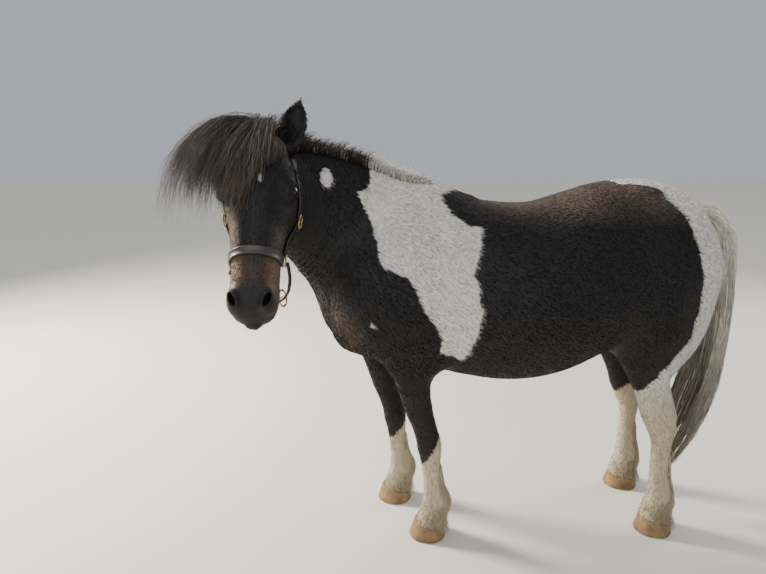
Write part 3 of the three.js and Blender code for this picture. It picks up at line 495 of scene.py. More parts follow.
def surface(field, xs, ys, zs):
    """The zero surface of a field, as points and four-sided faces; only blocks near it are worked out."""
    axes = (xs, ys, zs)
    middles = [0.5 * (a[:-1:BLOCK] + a[BLOCK::BLOCK]) for a in axes]
    spans = [0.5 * (a[BLOCK::BLOCK] - a[:-1:BLOCK]) for a in axes]
    coarse = np.stack(np.meshgrid(*middles, indexing="ij"), axis=-1).reshape(-1, 3)
    reach = np.sqrt(sum(s**2 for s in np.meshgrid(*spans, indexing="ij"))).ravel()
    batches = np.array_split(coarse, max(len(coarse) // ROUGH_BATCH, 1))
    rough = np.concatenate([field(part) for part in batches])
    shape = tuple(len(m) for m in middles)
    grid = rough.reshape(shape)
    for axis in range(3):
        grid = np.repeat(grid, BLOCK, axis=axis)
    grid = grid.astype(np.float32)
    blocks = np.argwhere((np.abs(rough) < 1.5 * reach + 3).reshape(shape))
    steps = np.stack(np.meshgrid(*[np.arange(BLOCK)] * 3, indexing="ij"), axis=-1).reshape(-1, 3)
    nodes = (blocks[:, None] * BLOCK + steps).reshape(-1, 3)
    for part in np.array_split(nodes, max(len(nodes) // FINE_BATCH, 1)):
        p = np.stack([axes[k][part[:, k]] for k in range(3)], axis=1)
        grid[part[:, 0], part[:, 1], part[:, 2]] = field(p)
    inside = grid < 0
    count = sum(
        inside[i : i - 1 or None, j : j - 1 or None, k : k - 1 or None].astype(np.int8)
        for i in (0, 1) for j in (0, 1) for k in (0, 1)
    )
    cells = np.argwhere((count > 0) & (count < 8))
    number = np.full(count.shape, -1, np.int32)
    number[tuple(cells.T)] = np.arange(len(cells))
    total, hits = np.zeros((len(cells), 3)), np.zeros(len(cells))
    for axis in range(3):
        others = [k for k in range(3) if k != axis]
        for m in (0, 1):
            for n in (0, 1):
                a = cells.copy()
                a[:, others[0]] += m
                a[:, others[1]] += n
                b = a.copy()
                b[:, axis] += 1
                fa, fb = grid[tuple(a.T)], grid[tuple(b.T)]
                cross = (fa < 0) != (fb < 0)
                t = np.where(cross, fa / np.where(cross, fa - fb, 1), 0)
                at = a.astype(float)
                at[:, axis] += t
                total += at * cross[:, None]
                hits += cross
    mean = total / hits[:, None]
    points = np.stack([np.interp(mean[:, k], np.arange(len(axes[k])), axes[k]) for k in range(3)], axis=1)
    quads = []
    for axis in range(3):
        j, k = (axis + 1) % 3, (axis + 2) % 3
        lower = [slice(None)] * 3
        upper = [slice(None)] * 3
        lower[axis], upper[axis] = slice(0, -1), slice(1, None)
        for one in (lower, upper):
            one[j], one[k] = slice(1, -1), slice(1, -1)
        a, b = inside[tuple(lower)], inside[tuple(upper)]
        for which, order in (((a & ~b), (0, 1, 2, 3)), ((~a & b), (3, 2, 1, 0))):
            at = np.argwhere(which)
            at[:, j] += 1
            at[:, k] += 1
            around = []
            for dj, dk in ((-1, -1), (0, -1), (0, 0), (-1, 0)):
                cell = at.copy()
                cell[:, j] += dj
                cell[:, k] += dk
                around.append(number[tuple(cell.T)])
            quads.append(np.stack(around, axis=1)[:, order])
    return points, np.concatenate(quads)


def settle(field, p, rounds=2):
    """Moves points onto the field's zero surface."""
    for _ in range(rounds):
        g = slope(field, p, 1.0)
        step = field(p)[:, None] * g / np.maximum((g * g).sum(axis=1, keepdims=True), 0.2)
        length = np.linalg.norm(step, axis=1, keepdims=True)
        p = p - step * np.minimum(1, 2.0 / np.maximum(length, 1e-6))
    return p


COARSE, FINE = ((6.4, 2.8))
xs = graded(-830, 520, -812, -600, COARSE, FINE)
ys = graded(-600, 300, -600, -60, COARSE, FINE)
zs = graded(14, 1280, 730, 1280, COARSE, 1.15 * FINE)
skin_points, skin_quads = surface(skin, xs, ys, zs)
skin_points = settle(skin, skin_points, 1)
skin_normals = unit(slope(skin, skin_points, 2.0))


# Markings. Outlines are x and z on the pony's side, read off the near side.
PATCH = [
    (-455, 1160), (-453, 1069), (-442, 1029), (-451, 1000), (-479, 993), (-462, 956), (-436, 897),
    (-433, 846), (-419, 813), (-393, 804), (-354, 788), (-336, 753), (-313, 701), (-282, 659),
    (-276, 632), (-276, 589), (-238, 577), (-214, 564), (-200, 590), (-178, 660), (-173, 696),
    (-183, 750), (-193, 799), (-183, 853), (-166, 905), (-205, 914), (-236, 938), (-262, 960),
    (-262, 985), (-218, 1000), (-210, 1160),
]
# The front edge of the white rump and thigh: height and x, from below.
RUMP_EDGE = np.array([
    [400, 180], [430, 255], [447, 292], [500, 318], [560, 345], [600, 376], [640, 392], [695, 400],
    [751, 396], [817, 380], [891, 357], [950, 332], [996, 306], [1030, 290],
], float)
# Each leg's white ends higher at the back: height at the front, the rise to the back, and over what length.
STOCKINGS = {
    "fore_left": (232, 92, 60), "fore_right": (205, 70, 60),
    "hind_left": (430, 60, 100), "hind_right": (352, 66, 90),
}
# Small white spots: middle and half sizes. The star's are in the head's frame.
NECK_SPOT = ([-556, -82, 1030], [15, 30, 26])
SHOULDER_DOT = ([-448, -168, 665], [4, 30, 4])
STAR = ([110, 13, 20], [10, 3.2, 17])


def colour(r, g, b):
    """A colour given as the eye sees it, from 0 to 255, as light."""
    c = np.array([r, g, b], float) / 255
    return np.where(c <= 0.04045, c / 12.92, ((c + 0.055) / 1.055) ** 2.4)


DARK = colour(15, 12, 12)
BLEACHED_AND_SUNLIT = colour(100, 82, 68)
LIVER = colour(38, 24, 13)
WHITE = colour(206, 201, 194)
CREAM_AND_SHADE = colour(184, 171, 144)
DIRT = colour(142, 128, 100)
MUZZLE_TAN = colour(112, 84, 66)
FACE_TAN_AND_SUNLIT = colour(112, 92, 76)
NOSE_GREY = colour(17, 16, 16)
FORELOCK_BROWN = colour(70, 60, 55)
FORELOCK_PALE = colour(136, 122, 108)
CREST_BROWN = colour(56, 46, 41)
HAIR_WHITE = colour(224, 216, 202)
TAIL_GREY = colour(142, 130, 110)
TAIL_DARK = colour(58, 48, 42)


def ripple(p, size, seed=0.0):
    """A smooth wander between about -1 and 1, about `size` from crest to crest."""
    q = p * (2 * math.pi / size)
    a = np.sin(q[:, 0] + 1.7 * np.sin(0.61 * q[:, 2] + seed) + seed)
    b = np.sin(0.83 * q[:, 2] + 1.4 * np.sin(0.73 * q[:, 1] + 2.1 * seed) + 1.3 * seed)
    c = np.sin(0.91 * q[:, 1] + 1.5 * np.sin(0.57 * q[:, 0] - seed) + 0.7 * seed)
    return (a + b + c) / 2.2


def within_outline(x, z, outline):
    inside = np.zeros(len(x), bool)
    for (x0, z0), (x1, z1) in zip(outline, outline[1:] + outline[:1]):
        if z0 == z1:
            continue
        crosses = ((z0 > z) != (z1 > z)) & (x < (x1 - x0) * (z - z0) / (z1 - z0) + x0)
        inside ^= crosses
    return inside


def mix(a, b, t):
    t = np.clip(np.asarray(t, float), 0, 1)[:, None]
    return a * (1 - t) + b * t


def ramp(v, low, high):
    t = np.clip((v - low) / (high - low), 0, 1)
    return t * t * (3 - 2 * t)


def is_white(p):
    """Which points lie in the white markings."""
    x, y, z = (p + np.stack([4 * ripple(p, 61, 1), 0 * p[:, 0], 4 * ripple(p, 53, 2)], axis=1)).T
    x = x + ripple(p, 23, 5)
    near = y < 0
    white = within_outline(np.where(near, x, 0.94 * x + 4), np.where(near, z, z + 16), PATCH)
    edge = np.interp(z, RUMP_EDGE[:, 0], RUMP_EDGE[:, 1])
    far_edge = edge + 22 + 300 * ramp(-z, -700, -530) + 16 * ripple(p, 150, 6)
    hind = x > np.where(near, edge, far_edge)
    top = (z > 994) & (x > 205) & (y > -52 - 0.3 * (x - 205)) & (y < 46 + 0.3 * (x - 205))
    white |= (z > 400) & (x > 150) & (hind | top)
    for name, (low_front, rise, span) in STOCKINGS.items():
        table, lx, ly, _ = LEGS[name]
        here = (np.abs(x - lx) < 190) & (np.sign(ly) * y > 0) & (z < 520)
        shift = row_at(table, z)[:, 1]
        level = low_front + rise * np.clip((x - lx - shift) / span + 0.5, 0, 1)
        white |= here & (z < level)
    for middle, sizes in (NECK_SPOT, SHOULDER_DOT):
        white |= ellipsoid(p - np.array(middle) + 1.5 * ripple(p, 21)[:, None], sizes) < 0
    return white | (ellipsoid(to_head(p) - np.array(STAR[0]), STAR[1]) < 0)


def coat_colour(p):
    """The coat's colour at points of the pony's own frame."""
    x, y, z = p.T
    n = ripple(p, 160, 3) * 0.5 + 0.5
    # The top of the back is painted lighter brown: partly a sun-bleached coat, partly painted sunlight and
    # sheen.
    back = ramp(z, 900, 985) * ramp(x, -230, -60)
    c = mix(DARK, BLEACHED_AND_SUNLIT, 0.75 * back * (0.55 + 0.45 * n))
    low = ramp(-z, -690, -520) * ramp(x, -330, -200)
    c = mix(c, LIVER, 0.75 * low)
    # The front of the chest is painted lighter brown: partly real brown hair, partly painted sunlight.
    c = mix(c, BLEACHED_AND_SUNLIT, 0.6 * ramp(-x, 440, 520) * ramp(-z, -760, -620) * ramp(z, 520, 600) * n)
    q = to_head(p)
    on_head = (q[:, 0] > -60) & (head_form(q) < 16)
    down, left, out = q.T
    # The face's tan is laid on far more strongly on the right cheek than on the left: real tan, with painted
    # sunlight on the side the light comes from.
    c = mix(c, FACE_TAN_AND_SUNLIT, on_head * 0.75 * ramp(-left, 18, 52) * ramp(down, 150, 210))
    c = mix(c, FACE_TAN_AND_SUNLIT, on_head * 0.35 * ramp(left, 20, 60) * ramp(down, 190, 250))
    # The muzzle's tan is also stronger on the right side: real tan with painted sunlight.
    side = 0.2 + 0.75 * ramp(-left, 6, 38) + 0.4 * ramp(left, 18, 50)
    c = mix(c, MUZZLE_TAN, on_head * side * ramp(down, 262, 306) * ramp(-down, -390, -344))
    lips = ramp(down, 322, 372) * ramp(-np.abs(left), -48, -20)
    c = mix(c, NOSE_GREY, on_head * np.maximum(lips, ramp(down, 385, 405)))
    for side in (1, -1):
        off = ellipsoid(q - np.array(NOSTRIL) * [1, side, 1], [24, 15, 24])
        c = mix(c, NOSE_GREY * 0.6, on_head * ramp(-off, -6, 4))
        eye = np.linalg.norm((q - [EYE_DOWN, side * EYE_LEFT, EYE_OUT]) * [0.8, 1, 1.1], axis=1)
        c = mix(c, NOSE_GREY * 0.45, ramp(-eye, -29, -19))
    white = is_white(p)
    # Low down the white turns to a darker cream: partly the legs' own cream tone, partly painted shade.
    pale = mix(WHITE, CREAM_AND_SHADE, ramp(-z, -560, -330))
    pale = mix(pale, DIRT, 0.4 * ramp(-z, -190, -60) * (0.6 + 0.4 * ripple(p, 60, 7)))
    c[white] = pale[white]
    return np.clip(c, 0.002, 1)


# The unwrap that every coat piece shares: the trunk, neck, head and each leg has its own field of the sheet.
def around(u, v):
    return np.arctan2(v, u) / (2 * math.pi) + 0.5


def unwrap(p):
    """The place of a point of the skin on its flat sheet."""
    x, y, z = p.T
    uv = np.stack([0.01 + 0.56 * np.clip((x + 640) / 1240, 0, 1), 0.01 + 0.6 * around(z - 740, y)], axis=1)
    q = to_head(p)
    head = (q[:, 0] > -60) & (q[:, 0] < 440) & (head_form(q) < 40)
    on_neck = ~head & (neck(p) < 20) & (x < -380)
    if on_neck.any():
        i = 4 * np.argmin(((p[on_neck, None] - neck_at[None, ::4]) ** 2).sum(axis=2), axis=1)
        off = p[on_neck] - neck_at[i]
        far = i / NECK_STEPS + (off * neck_along[i]).sum(axis=1) / 600
        turn = around((off * neck_up[i]).sum(axis=1), (off * neck_side[i]).sum(axis=1))
        uv[on_neck] = np.stack([0.6 + 0.38 * np.clip(far, 0, 1), 0.01 + 0.28 * turn], axis=1)
    if head.any():
        turn = around(q[head, 2] + 75, q[head, 1])
        uv[head] = np.stack([0.6 + 0.38 * np.clip((q[head, 0] + 150) / 590, 0, 1), 0.32 + 0.3 * turn], axis=1)
    for i, (table, lx, ly, lean) in enumerate(LEGS.values()):
        here = (z < 480) & (np.abs(x - lx) < 200) & (np.sign(ly) * y > 0)
        if here.any():
            shift = row_at(table, z[here])[:, 1]
            turn = around(x[here] - lx - shift, y[here] - ly - lean * z[here])
            uv[here] = np.stack([0.01 + 0.25 * i + 0.23 * turn, 0.66 + 0.32 * z[here] / 480], axis=1)
    return uv


def added(name, data):
    obj = bpy.data.objects.new(name, data)
    bpy.context.scene.collection.objects.link(obj)
    return obj


def paint(mesh, colours):
    layer = mesh.color_attributes.new(name="coat", type="FLOAT_COLOR", domain="POINT")
    rgba = np.column_stack([colours, np.ones(len(colours))])
    layer.data.foreach_set("color", rgba.astype(np.float32).ravel())


def mesh_object(name, points, faces, material, colours=None, uv=None):
    """A mesh from points in millimetres of the pony's frame; faces is an array with one face a row."""
    faces = np.asarray(faces, np.int32)
    corners = faces.shape[1]
    mesh = bpy.data.meshes.new(name)
    mesh.vertices.add(len(points))
    mesh.vertices.foreach_set("co", place(points).astype(np.float32).ravel())
    mesh.loops.add(faces.size)
    mesh.loops.foreach_set("vertex_index", faces.ravel())
    mesh.polygons.add(len(faces))
    mesh.polygons.foreach_set("loop_start", np.arange(0, faces.size, corners, dtype=np.int32))
    mesh.polygons.foreach_set("use_smooth", np.full(len(faces), True))
    mesh.update(calc_edges=True)
    if uv is not None:
        layer = mesh.uv_layers.new(name="OFBake")
        layer.data.foreach_set("uv", uv[faces.ravel()].astype(np.float32).ravel())
    if colours is not None:
        paint(mesh, colours)
    mesh.materials.append(material)
    obj = added(name, mesh)
    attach(obj, "root")
    return obj


def principled(name, base, roughness, metallic, specular):
    material = bpy.data.materials.new(name)
    material.use_nodes = True
    shader = material.node_tree.nodes["Principled BSDF"]
    if base is not None:
        shader.inputs["Base Color"].default_value = (*base, 1)
    shader.inputs["Roughness"].default_value = roughness
    shader.inputs["Metallic"].default_value = metallic
    shader.inputs["Specular IOR Level"].default_value = specular
    return material, material.node_tree, shader


def noise_node(tree, scale, detail, stretch):
    coords = tree.nodes.new("ShaderNodeTexCoord")
    mapping = tree.nodes.new("ShaderNodeMapping")
    mapping.inputs["Scale"].default_value = stretch
    tree.links.new(coords.outputs["Object"], mapping.inputs["Vector"])
    noise = tree.nodes.new("ShaderNodeTexNoise")
    noise.inputs["Scale"].default_value = scale
    noise.inputs["Detail"].default_value = detail
    tree.links.new(mapping.outputs["Vector"], noise.inputs["Vector"])
    return noise


def add_bump(tree, shader, scale, strength, distance, stretch=(1, 1, 1)):
    noise = noise_node(tree, scale, 4, stretch)
    bump = tree.nodes.new("ShaderNodeBump")
    bump.inputs["Strength"].default_value = strength
    bump.inputs["Distance"].default_value = distance
    tree.links.new(noise.outputs["Fac"], bump.inputs["Height"])
    tree.links.new(bump.outputs["Normal"], shader.inputs["Normal"])


def mottle(tree, shader, source, scale, low, high, stretch=(1, 1, 1)):
    """Multiplies a colour, or a colour output, by noise between two levels, for the base colour."""
    noise = noise_node(tree, scale, 3, stretch)
    level = tree.nodes.new("ShaderNodeMapRange")
    level.inputs["From Min"].default_value = 0.3
    level.inputs["From Max"].default_value = 0.7
    level.inputs["To Min"].default_value = low
    level.inputs["To Max"].default_value = high
    tree.links.new(noise.outputs["Fac"], level.inputs["Value"])
    scaled = tree.nodes.new("ShaderNodeVectorMath")
    scaled.operation = "SCALE"
    if isinstance(source, bpy.types.NodeSocket):
        tree.links.new(source, scaled.inputs[0])
    else:
        scaled.inputs[0].default_value = source
    tree.links.new(level.outputs["Result"], scaled.inputs["Scale"])
    tree.links.new(scaled.outputs["Vector"], shader.inputs["Base Color"])


def coat_marks(tree):
    marks = tree.nodes.new("ShaderNodeAttribute")
    marks.attribute_name = "coat"
    return marks.outputs["Color"]


def coat_material(name, roughness, low, high, bump=0):
    material, tree, shader = principled(name, None, roughness, 0, 0.35)
    mottle(tree, shader, coat_marks(tree), 90, low, high, (1, 1, 0.5))
    if bump:
        add_bump(tree, shader, 420, bump, 0.0012, (0.45, 1, 0.5))
    return material


def plain_material(name, base, roughness, metallic, specular, scale, low, high, bump):
    material, tree, shader = principled(name, base, roughness, metallic, specular)
    mottle(tree, shader, tuple(base), scale, low, high)
    add_bump(tree, shader, scale * 5, bump, 0.0006)
    return material


SKIN_MATERIAL = coat_material("short_coat", 0.62, 0.9, 1.1, 0.28)
FUR_MATERIAL = coat_material("coat_hair", 0.58, 0.85, 1.15)
HAIR_MATERIAL = coat_material("long_hair", 0.5, 0.8, 1.2)
HORN_MATERIAL = plain_material("hoof_horn", colour(134, 106, 74), 0.6, 0, 0.35, 34, 0.55, 1.3, 0.5)
LEATHER_MATERIAL = plain_material("halter_leather", colour(28, 24, 22), 0.42, 0, 0.5, 220, 0.75, 1.3, 0.25)
NOSEBAND_MATERIAL = plain_material("noseband_leather", colour(50, 45, 43), 0.42, 0, 0.5, 220, 0.8, 1.2, 0.25)
BRASS_MATERIAL = plain_material("halter_brass", colour(190, 164, 104), 0.3, 1.0, 0.5, 120, 0.8, 1.1, 0.1)


# The size of each strand's own patch of the unwrap.
STRAND_PATCH = 0.003


def strands(name, lines, width, thick, flat, tones, roots, material=HAIR_MATERIAL, taper=1.5):
    """Closed, tapered three sided strands, one along each row of points, whose last point is its tip."""
    n, s, _ = lines.shape
    ring = s - 1
    along = np.empty((n, ring, 3))
    along[:, 0] = lines[:, 1] - lines[:, 0]
    along[:, 1:] = lines[:, 2:] - lines[:, :-2]
    along = unit(along)
    across = unit(np.cross(along, flat[:, None] if np.ndim(flat) == 2 else flat))
    out = np.cross(across, along)
    f = np.arange(ring) / (s - 1)
    size = (1 - 0.85 * f**taper)[None, :, None]
    w = 0.5 * np.reshape(width, (-1, 1, 1)) * size * across
    t = np.reshape(thick, (-1, 1, 1)) * size * out
    middle = lines[:, :-1]
    rings = np.stack([middle + w - t / 3, middle - w - t / 3, middle + t * 2 / 3], axis=2)
    points = np.concatenate([rings.reshape(n, ring * 3, 3), lines[:, -1:]], axis=1)
    faces = [[0, 2, 1]]
    for r in range(ring - 1):
        for k in range(3):
            a, b = 3 * r + k, 3 * r + (k + 1) % 3
            faces += [[a, b, b + 3], [a, b + 3, a + 3]]
    last = 3 * (ring - 1)
    faces += [[last + k, last + (k + 1) % 3, 3 * ring] for k in range(3)]
    count = 3 * ring + 1
    faces = (np.array(faces)[None] + count * np.arange(n)[:, None, None]).reshape(-1, 3)
    share = np.concatenate([np.repeat(f, 3), [1.0]])[None, :, None]
    root, tip = tones
    colours = np.clip(root[:, None] * (1 - share) + tip[:, None] * share, 0, 1)
    patch = np.concatenate([np.stack([np.tile([0, 1, 0.5], ring), np.repeat(f, 3)], axis=1), [[0.5, 1]]])
    uv = unwrap(roots)[:, None] + STRAND_PATCH * patch[None]
    points, colours, uv = points.reshape(-1, 3), colours.reshape(-1, 3), uv.reshape(-1, 2)
    return mesh_object(name, points, faces, material, colours, uv)


# The skin.
a, b, c, d = (skin_points[skin_quads[:, k]] for k in range(4))
face_normals = np.cross(c - a, d - b)
if (face_normals * skin_normals[skin_quads[:, 0]]).sum() < 0:
    skin_quads = skin_quads[:, ::-1]
mesh_skin = mesh_object("skin", skin_points, skin_quads, SKIN_MATERIAL, coat_colour(skin_points))
FLESH = ["torso", "neck", "head", "ear_left", "ear_right"] + ["leg_" + name for name in LEGS]
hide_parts(*FLESH)


def in_head(p, q):
    return (q[:, 0] > -150) & (head_form(q) < 60) & (p[:, 0] < -540)


SEED = 7
rng = np.random.default_rng(SEED)
# How many of the hairs are made.
SHARE = 1.0
triangles = np.concatenate([skin_quads[:, [0, 1, 2]], skin_quads[:, [0, 2, 3]]])
corner = skin_points[triangles]
area = np.linalg.norm(np.cross(corner[:, 1] - corner[:, 0], corner[:, 2] - corner[:, 0]), axis=1) / 2
centre = corner.mean(axis=1)
centre_head = to_head(centre)
on_head = in_head(centre, centre_head)
on_leg = (centre[:, 2] < 470) & ~on_head


def roots_on(weight, count):
    """Random places on the skin, with their normals, more of them where the weight is higher."""
    chance = area * weight
    which = rng.choice(len(triangles), size=count, p=chance / chance.sum())
    f = rng.random((count, 2))
    f[f.sum(axis=1) > 1] = 1 - f[f.sum(axis=1) > 1]
    f = np.concatenate([1 - f.sum(axis=1, keepdims=True), f], axis=1)
    p = (corner[which] * f[:, :, None]).sum(axis=1)
    n = unit((skin_normals[triangles[which]] * f[:, :, None]).sum(axis=1))
    return p, n


def flow_at(p):
    """The way the coat lies: to the rear and down on the body, down the legs, down the face."""
    flow = mix(np.array([0.8, 0, -0.5]), np.array([0.55, 0.1, -0.75]), ramp(-p[:, 0], 360, 520))
    flow = mix(flow, np.array([0.18, 0, -1.0]), ramp(-p[:, 2], -560, -440))
    q = to_head(p)
    head = in_head(p, q)
    flow[head] = HEAD_AXES[0] + 0.35 * HEAD_AXES[1] * np.sign(q[head, 1])[:, None]
    flow[head & (q[:, 0] < -2)] = -HEAD_AXES[0] * 0.9 - 0.2 * HEAD_AXES[2]
    return unit(flow)


def coat_piece(name, weight, count, length, width, stand, curl=0.2, shade=0.12):
    """Short tapered hairs over part of the skin, lying along the coat's flow."""
    count = int(count * SHARE)
    p, n = roots_on(weight, count)
    flow = flow_at(p)
    turn = curl * (ripple(p, 70, 9)[:, None] + 0.8 * rng.normal(size=(count, 1)))
    flow = unit(flow + turn * np.cross(n, flow))
    flow = unit(flow - (flow * n).sum(axis=1, keepdims=True) * n)
    size = length * rng.uniform(0.65, 1.3, (count, 1))
    lift = stand * rng.uniform(0.4, 1.6, (count, 1))
    lines = np.stack([p - 0.9 * n, p + flow * size + n * size * lift], axis=1)
    base = coat_colour(p + 2 * rng.normal(size=p.shape))
    tone = np.exp(shade * rng.normal(size=(count, 1)))
    # Each hair is painted darker at its root and lighter at its tip: painted shade down among the hairs and
    # painted light on their tips.
    return strands(name, lines, width * rng.uniform(0.8, 1.2, count), 0.6 * width, n,
                   (base * tone * 0.85, base * tone * 1.12), p, FUR_MATERIAL, 1.2)


body_weight = np.where(on_head | on_leg, 0, 1.0)
left_body = body_weight * (centre[:, 1] < 0)
right_body = body_weight * (centre[:, 1] >= 0)
for part in "ab":
    coat_piece("coat_body_left_" + part, left_body, 40000, 13, 2.2, 0.07, 0.13, 0.09)
coat_piece("coat_body_right", right_body, 49000, 15, 2.6, 0.07, 0.13, 0.09)
coat_piece("coat_legs", np.where(on_leg, 1.0, 0), 25000, 10, 2.0, 0.15)
muzzle = ramp(centre_head[:, 0], 330, 372)
coat_piece("coat_head", np.where(on_head, 1 - 0.92 * muzzle, 0), 31000, 7.5, 1.35, 0.12)
ear_area = on_head & (centre_head[:, 0] < -8)
coat_piece("coat_ears", np.where(ear_area, 1.0, 0), 3200, 10, 1.3, 0.45)


def wave(lines, size, amount):
    """Adds a gentle wave to each strand, none at its root."""
    n, s, _ = lines.shape
    f = np.linspace(0, 1, s)[None, :, None]
    phase = rng.uniform(0, 2 * math.pi, (n, 1, 3))
    rate = rng.uniform(0.6, 1.5, (n, 1, 1)) * size
    return lines + amount * f * np.sin(2 * math.pi * rate * f + phase)


def along_lines(controls, stations):
    """Smooth lines through each row's control points, evenly sampled."""
    n, m, _ = controls.shape
    t = np.linspace(0, m - 1, stations)
    i = np.clip(np.floor(t).astype(int), 0, m - 2)
    s = (t - i)[None, :, None]
    a, b = controls[:, i], controls[:, i + 1]
    before, after = controls[:, np.maximum(i - 1, 0)], controls[:, np.minimum(i + 2, m - 1)]
    return hermite(a, b, (b - before) / 2, (after - a) / 2, s)


# The mane, rooted on the crest: distance along it, x, y.
CREST = np.array([
    [0, -262, 0], [1, -330, 0], [2, -400, -2], [3, -470, -10], [4, -540, -26],
    [5, -602, -54], [6, -652, -92], [7, -688, -136], [8, -708, -172],
], float)
CREST_END = CREST[-1, 0]
MANE_LENGTH = 200
UP = np.array([0, 0, 1.0])
# The crest is felt for from above, and the neck's right side from beside it at even drops.
FEEL_FROM = 1300.0
FEEL_BESIDE = 300
DROP_STEP = 20
DROPS = DROP_STEP * np.arange(13.0)
crest_t = np.linspace(0, CREST_END, 65)
crest_xy = row_at(CREST, crest_t)[:, 1:]
crest_top = np.column_stack([crest_xy, np.full(len(crest_t), FEEL_FROM)])
crest_z = FEEL_FROM - touch(body, crest_top, np.tile(-UP, (len(crest_t), 1)), 600)
crest_at = np.column_stack([crest_xy, crest_z])
crest_along = unit(np.gradient(crest_at * [1, 1, 0], axis=0))
crest_right = unit(np.cross(crest_along, UP))
fall = np.zeros((len(crest_t), len(DROPS)))
for k, drop in enumerate(DROPS):
    start = crest_at + crest_right * FEEL_BESIDE - [0, 0, drop]
    fall[:, k] = FEEL_BESIDE - touch(body, start, -crest_right, FEEL_BESIDE)


def on_crest(t):
    t = np.clip(t, 0, CREST_END)
    pick = lambda values: np.stack([np.interp(t, crest_t, values[:, k]) for k in range(3)], axis=1)
    return pick(crest_at), unit(pick(crest_along)), unit(pick(crest_right))


def mane_spot(t, drop, lift):
    """A place on the mane's fall down the neck's right side."""
    at, _, right = on_crest(t)
    i = np.clip(t / CREST_END * (len(crest_t) - 1), 0, len(crest_t) - 1.001)
    j = np.clip(drop / DROP_STEP, 0, len(DROPS) - 1.001)
    i0, j0 = i.astype(int), j.astype(int)
    fi, fj = i - i0, j - j0
    out = (fall[i0, j0] * (1 - fi) + fall[i0 + 1, j0] * fi) * (1 - fj)
    out += (fall[i0, j0 + 1] * (1 - fi) + fall[i0 + 1, j0 + 1] * fi) * fj
    spot = at + right * (np.maximum(out, 8) + lift)[:, None]
    spot[:, 2] = at[:, 2] - drop
    return spot


def locks(clumps, each):
    """How many hairs a number of locks have in all, and the lock of each hair."""
    clump = np.repeat(np.arange(clumps), int(each * SHARE))
    return len(clump), clump


def hair_colours(root, tip, count, pale=0, pale_colour=None, shade=0.22):
    """Each hair's colour at root and tip: uneven in tone, and a share of them pale."""
    tone = np.exp(shade * rng.normal(size=(count, 1)))
    root, tip = root * tone, tip * tone
    if pale:
        some = rng.random(count) < pale
        root[some] = pale_colour * 0.8
        tip[some] = pale_colour
    return np.clip(root, 0, 1), np.clip(tip, 0, 1)


def mane_hair():
    """The long mane, thrown over to the right side of the neck."""
    clumps = 60
    n, clump = locks(clumps, 65)
    ct = np.linspace(1.05, 7.1, clumps) + 0.05 * rng.normal(size=clumps)
    t = np.clip(ct[clump] + 0.2 * rng.normal(size=n), 0.7, 7.6)
    length = MANE_LENGTH * np.interp(t, [1, 2.6, 7], [0.42, 1, 0.95])
    length *= (0.82 + 0.3 * rng.random(clumps))[clump] * rng.uniform(0.8, 1.04, n)
    sweep = (0.5 * (rng.random(clumps) - 0.4) + np.maximum(2 - ct, 0) * 0.4)[clump]
    lift = (3 + 7 * rng.random(clumps))[clump] + 3.5 * rng.random(n)
    at, along, right = on_crest(t)
    off = rng.uniform(-9, 11, (n, 1))
    rise = rng.uniform(5, 17, (n, 1)) * np.interp(t, [0.8, 2], [0.3, 1])[:, None]
    controls = np.stack([
        at + right * off - UP * 8,
        at + right * (off + 2) + UP * rise * 0.6,
        at + right * (np.abs(off) + 12) + UP * rise * 0.8,
        mane_spot(t - 0.3 * sweep, 0.2 * length, lift + 5),
        mane_spot(t - 0.6 * sweep, 0.5 * length, lift),
        mane_spot(t - 0.8 * sweep, 0.78 * length, lift),
        mane_spot(t - sweep + 0.05 * rng.normal(size=n), length, lift - 2),
    ], axis=1)
    lines = wave(along_lines(controls, 6), 1.6, 3.0)
    white = is_white(at - [0, 0, 8])[:, None]
    # The roots are painted darker than the tips: painted shade where the hairs lie close together.
    root = np.where(white, HAIR_WHITE * 0.9, CREST_BROWN * 0.6)
    tip = np.where(white, HAIR_WHITE, CREST_BROWN * 1.1)
    tones = hair_colours(root, tip, n, 0.07, FORELOCK_PALE * 0.7)
    strands("mane_hair", lines, rng.uniform(1.9, 3.6, n), 1.3, right, tones, at)


def crest_hair():
    """Short hair that stands along the crest and leans to the rear."""
    n = int(4400 * SHARE)
    t = rng.uniform(0.2, 7.9, n)
    at, along, right = on_crest(t)
    off = rng.uniform(-22, 12, (n, 1))
    tall = np.interp(t, [0.2, 1.4, 4.4, 5.6, 7.9], [0.25, 0.8, 0.85, 1.1, 1.15])
    size = (6 + 32 * rng.random(n) ** 2.2)[:, None] * tall[:, None] * (1 - 0.012 * np.abs(off + 4))
    size *= 1 + 0.2 * ripple(at, 42, 4)[:, None]
    lean = 0.5 * rng.normal(size=(n, 1)) - 0.15
    back = rng.uniform(0.0, 1.5, (n, 1))
    start = at + right * off - UP * (7 + 0.024 * (off + 2) ** 2)
    controls = np.stack([
        start,
        start + UP * (7 + 0.4 * size) + right * lean * size * 0.3,
        start + UP * (7 + 0.75 * size) + right * lean * size * 0.7 - along * back * size * 0.3,
        start + UP * (7 + 0.95 * size) + right * lean * size - along * back * size * 0.8,
    ], axis=1)
    lines = wave(along_lines(controls, 4), 0.9, 3.0)
    white = is_white(start + 7 * rng.normal(size=start.shape))[:, None]
    # The roots are painted darker and the tips lighter: painted shade low in the hair, and painted highlight
    # on the crest's top where the light from behind falls.
    root = np.where(white, WHITE * 0.85, CREST_BROWN * 0.5)
    tip = np.where(white, HAIR_WHITE, CREST_BROWN * 1.6)
    tones = hair_colours(root, tip, n, 0.12, FORELOCK_PALE * 1.2)
    strands("crest_hair", lines, rng.uniform(1.2, 2.1, n), 0.8, right, tones, at)


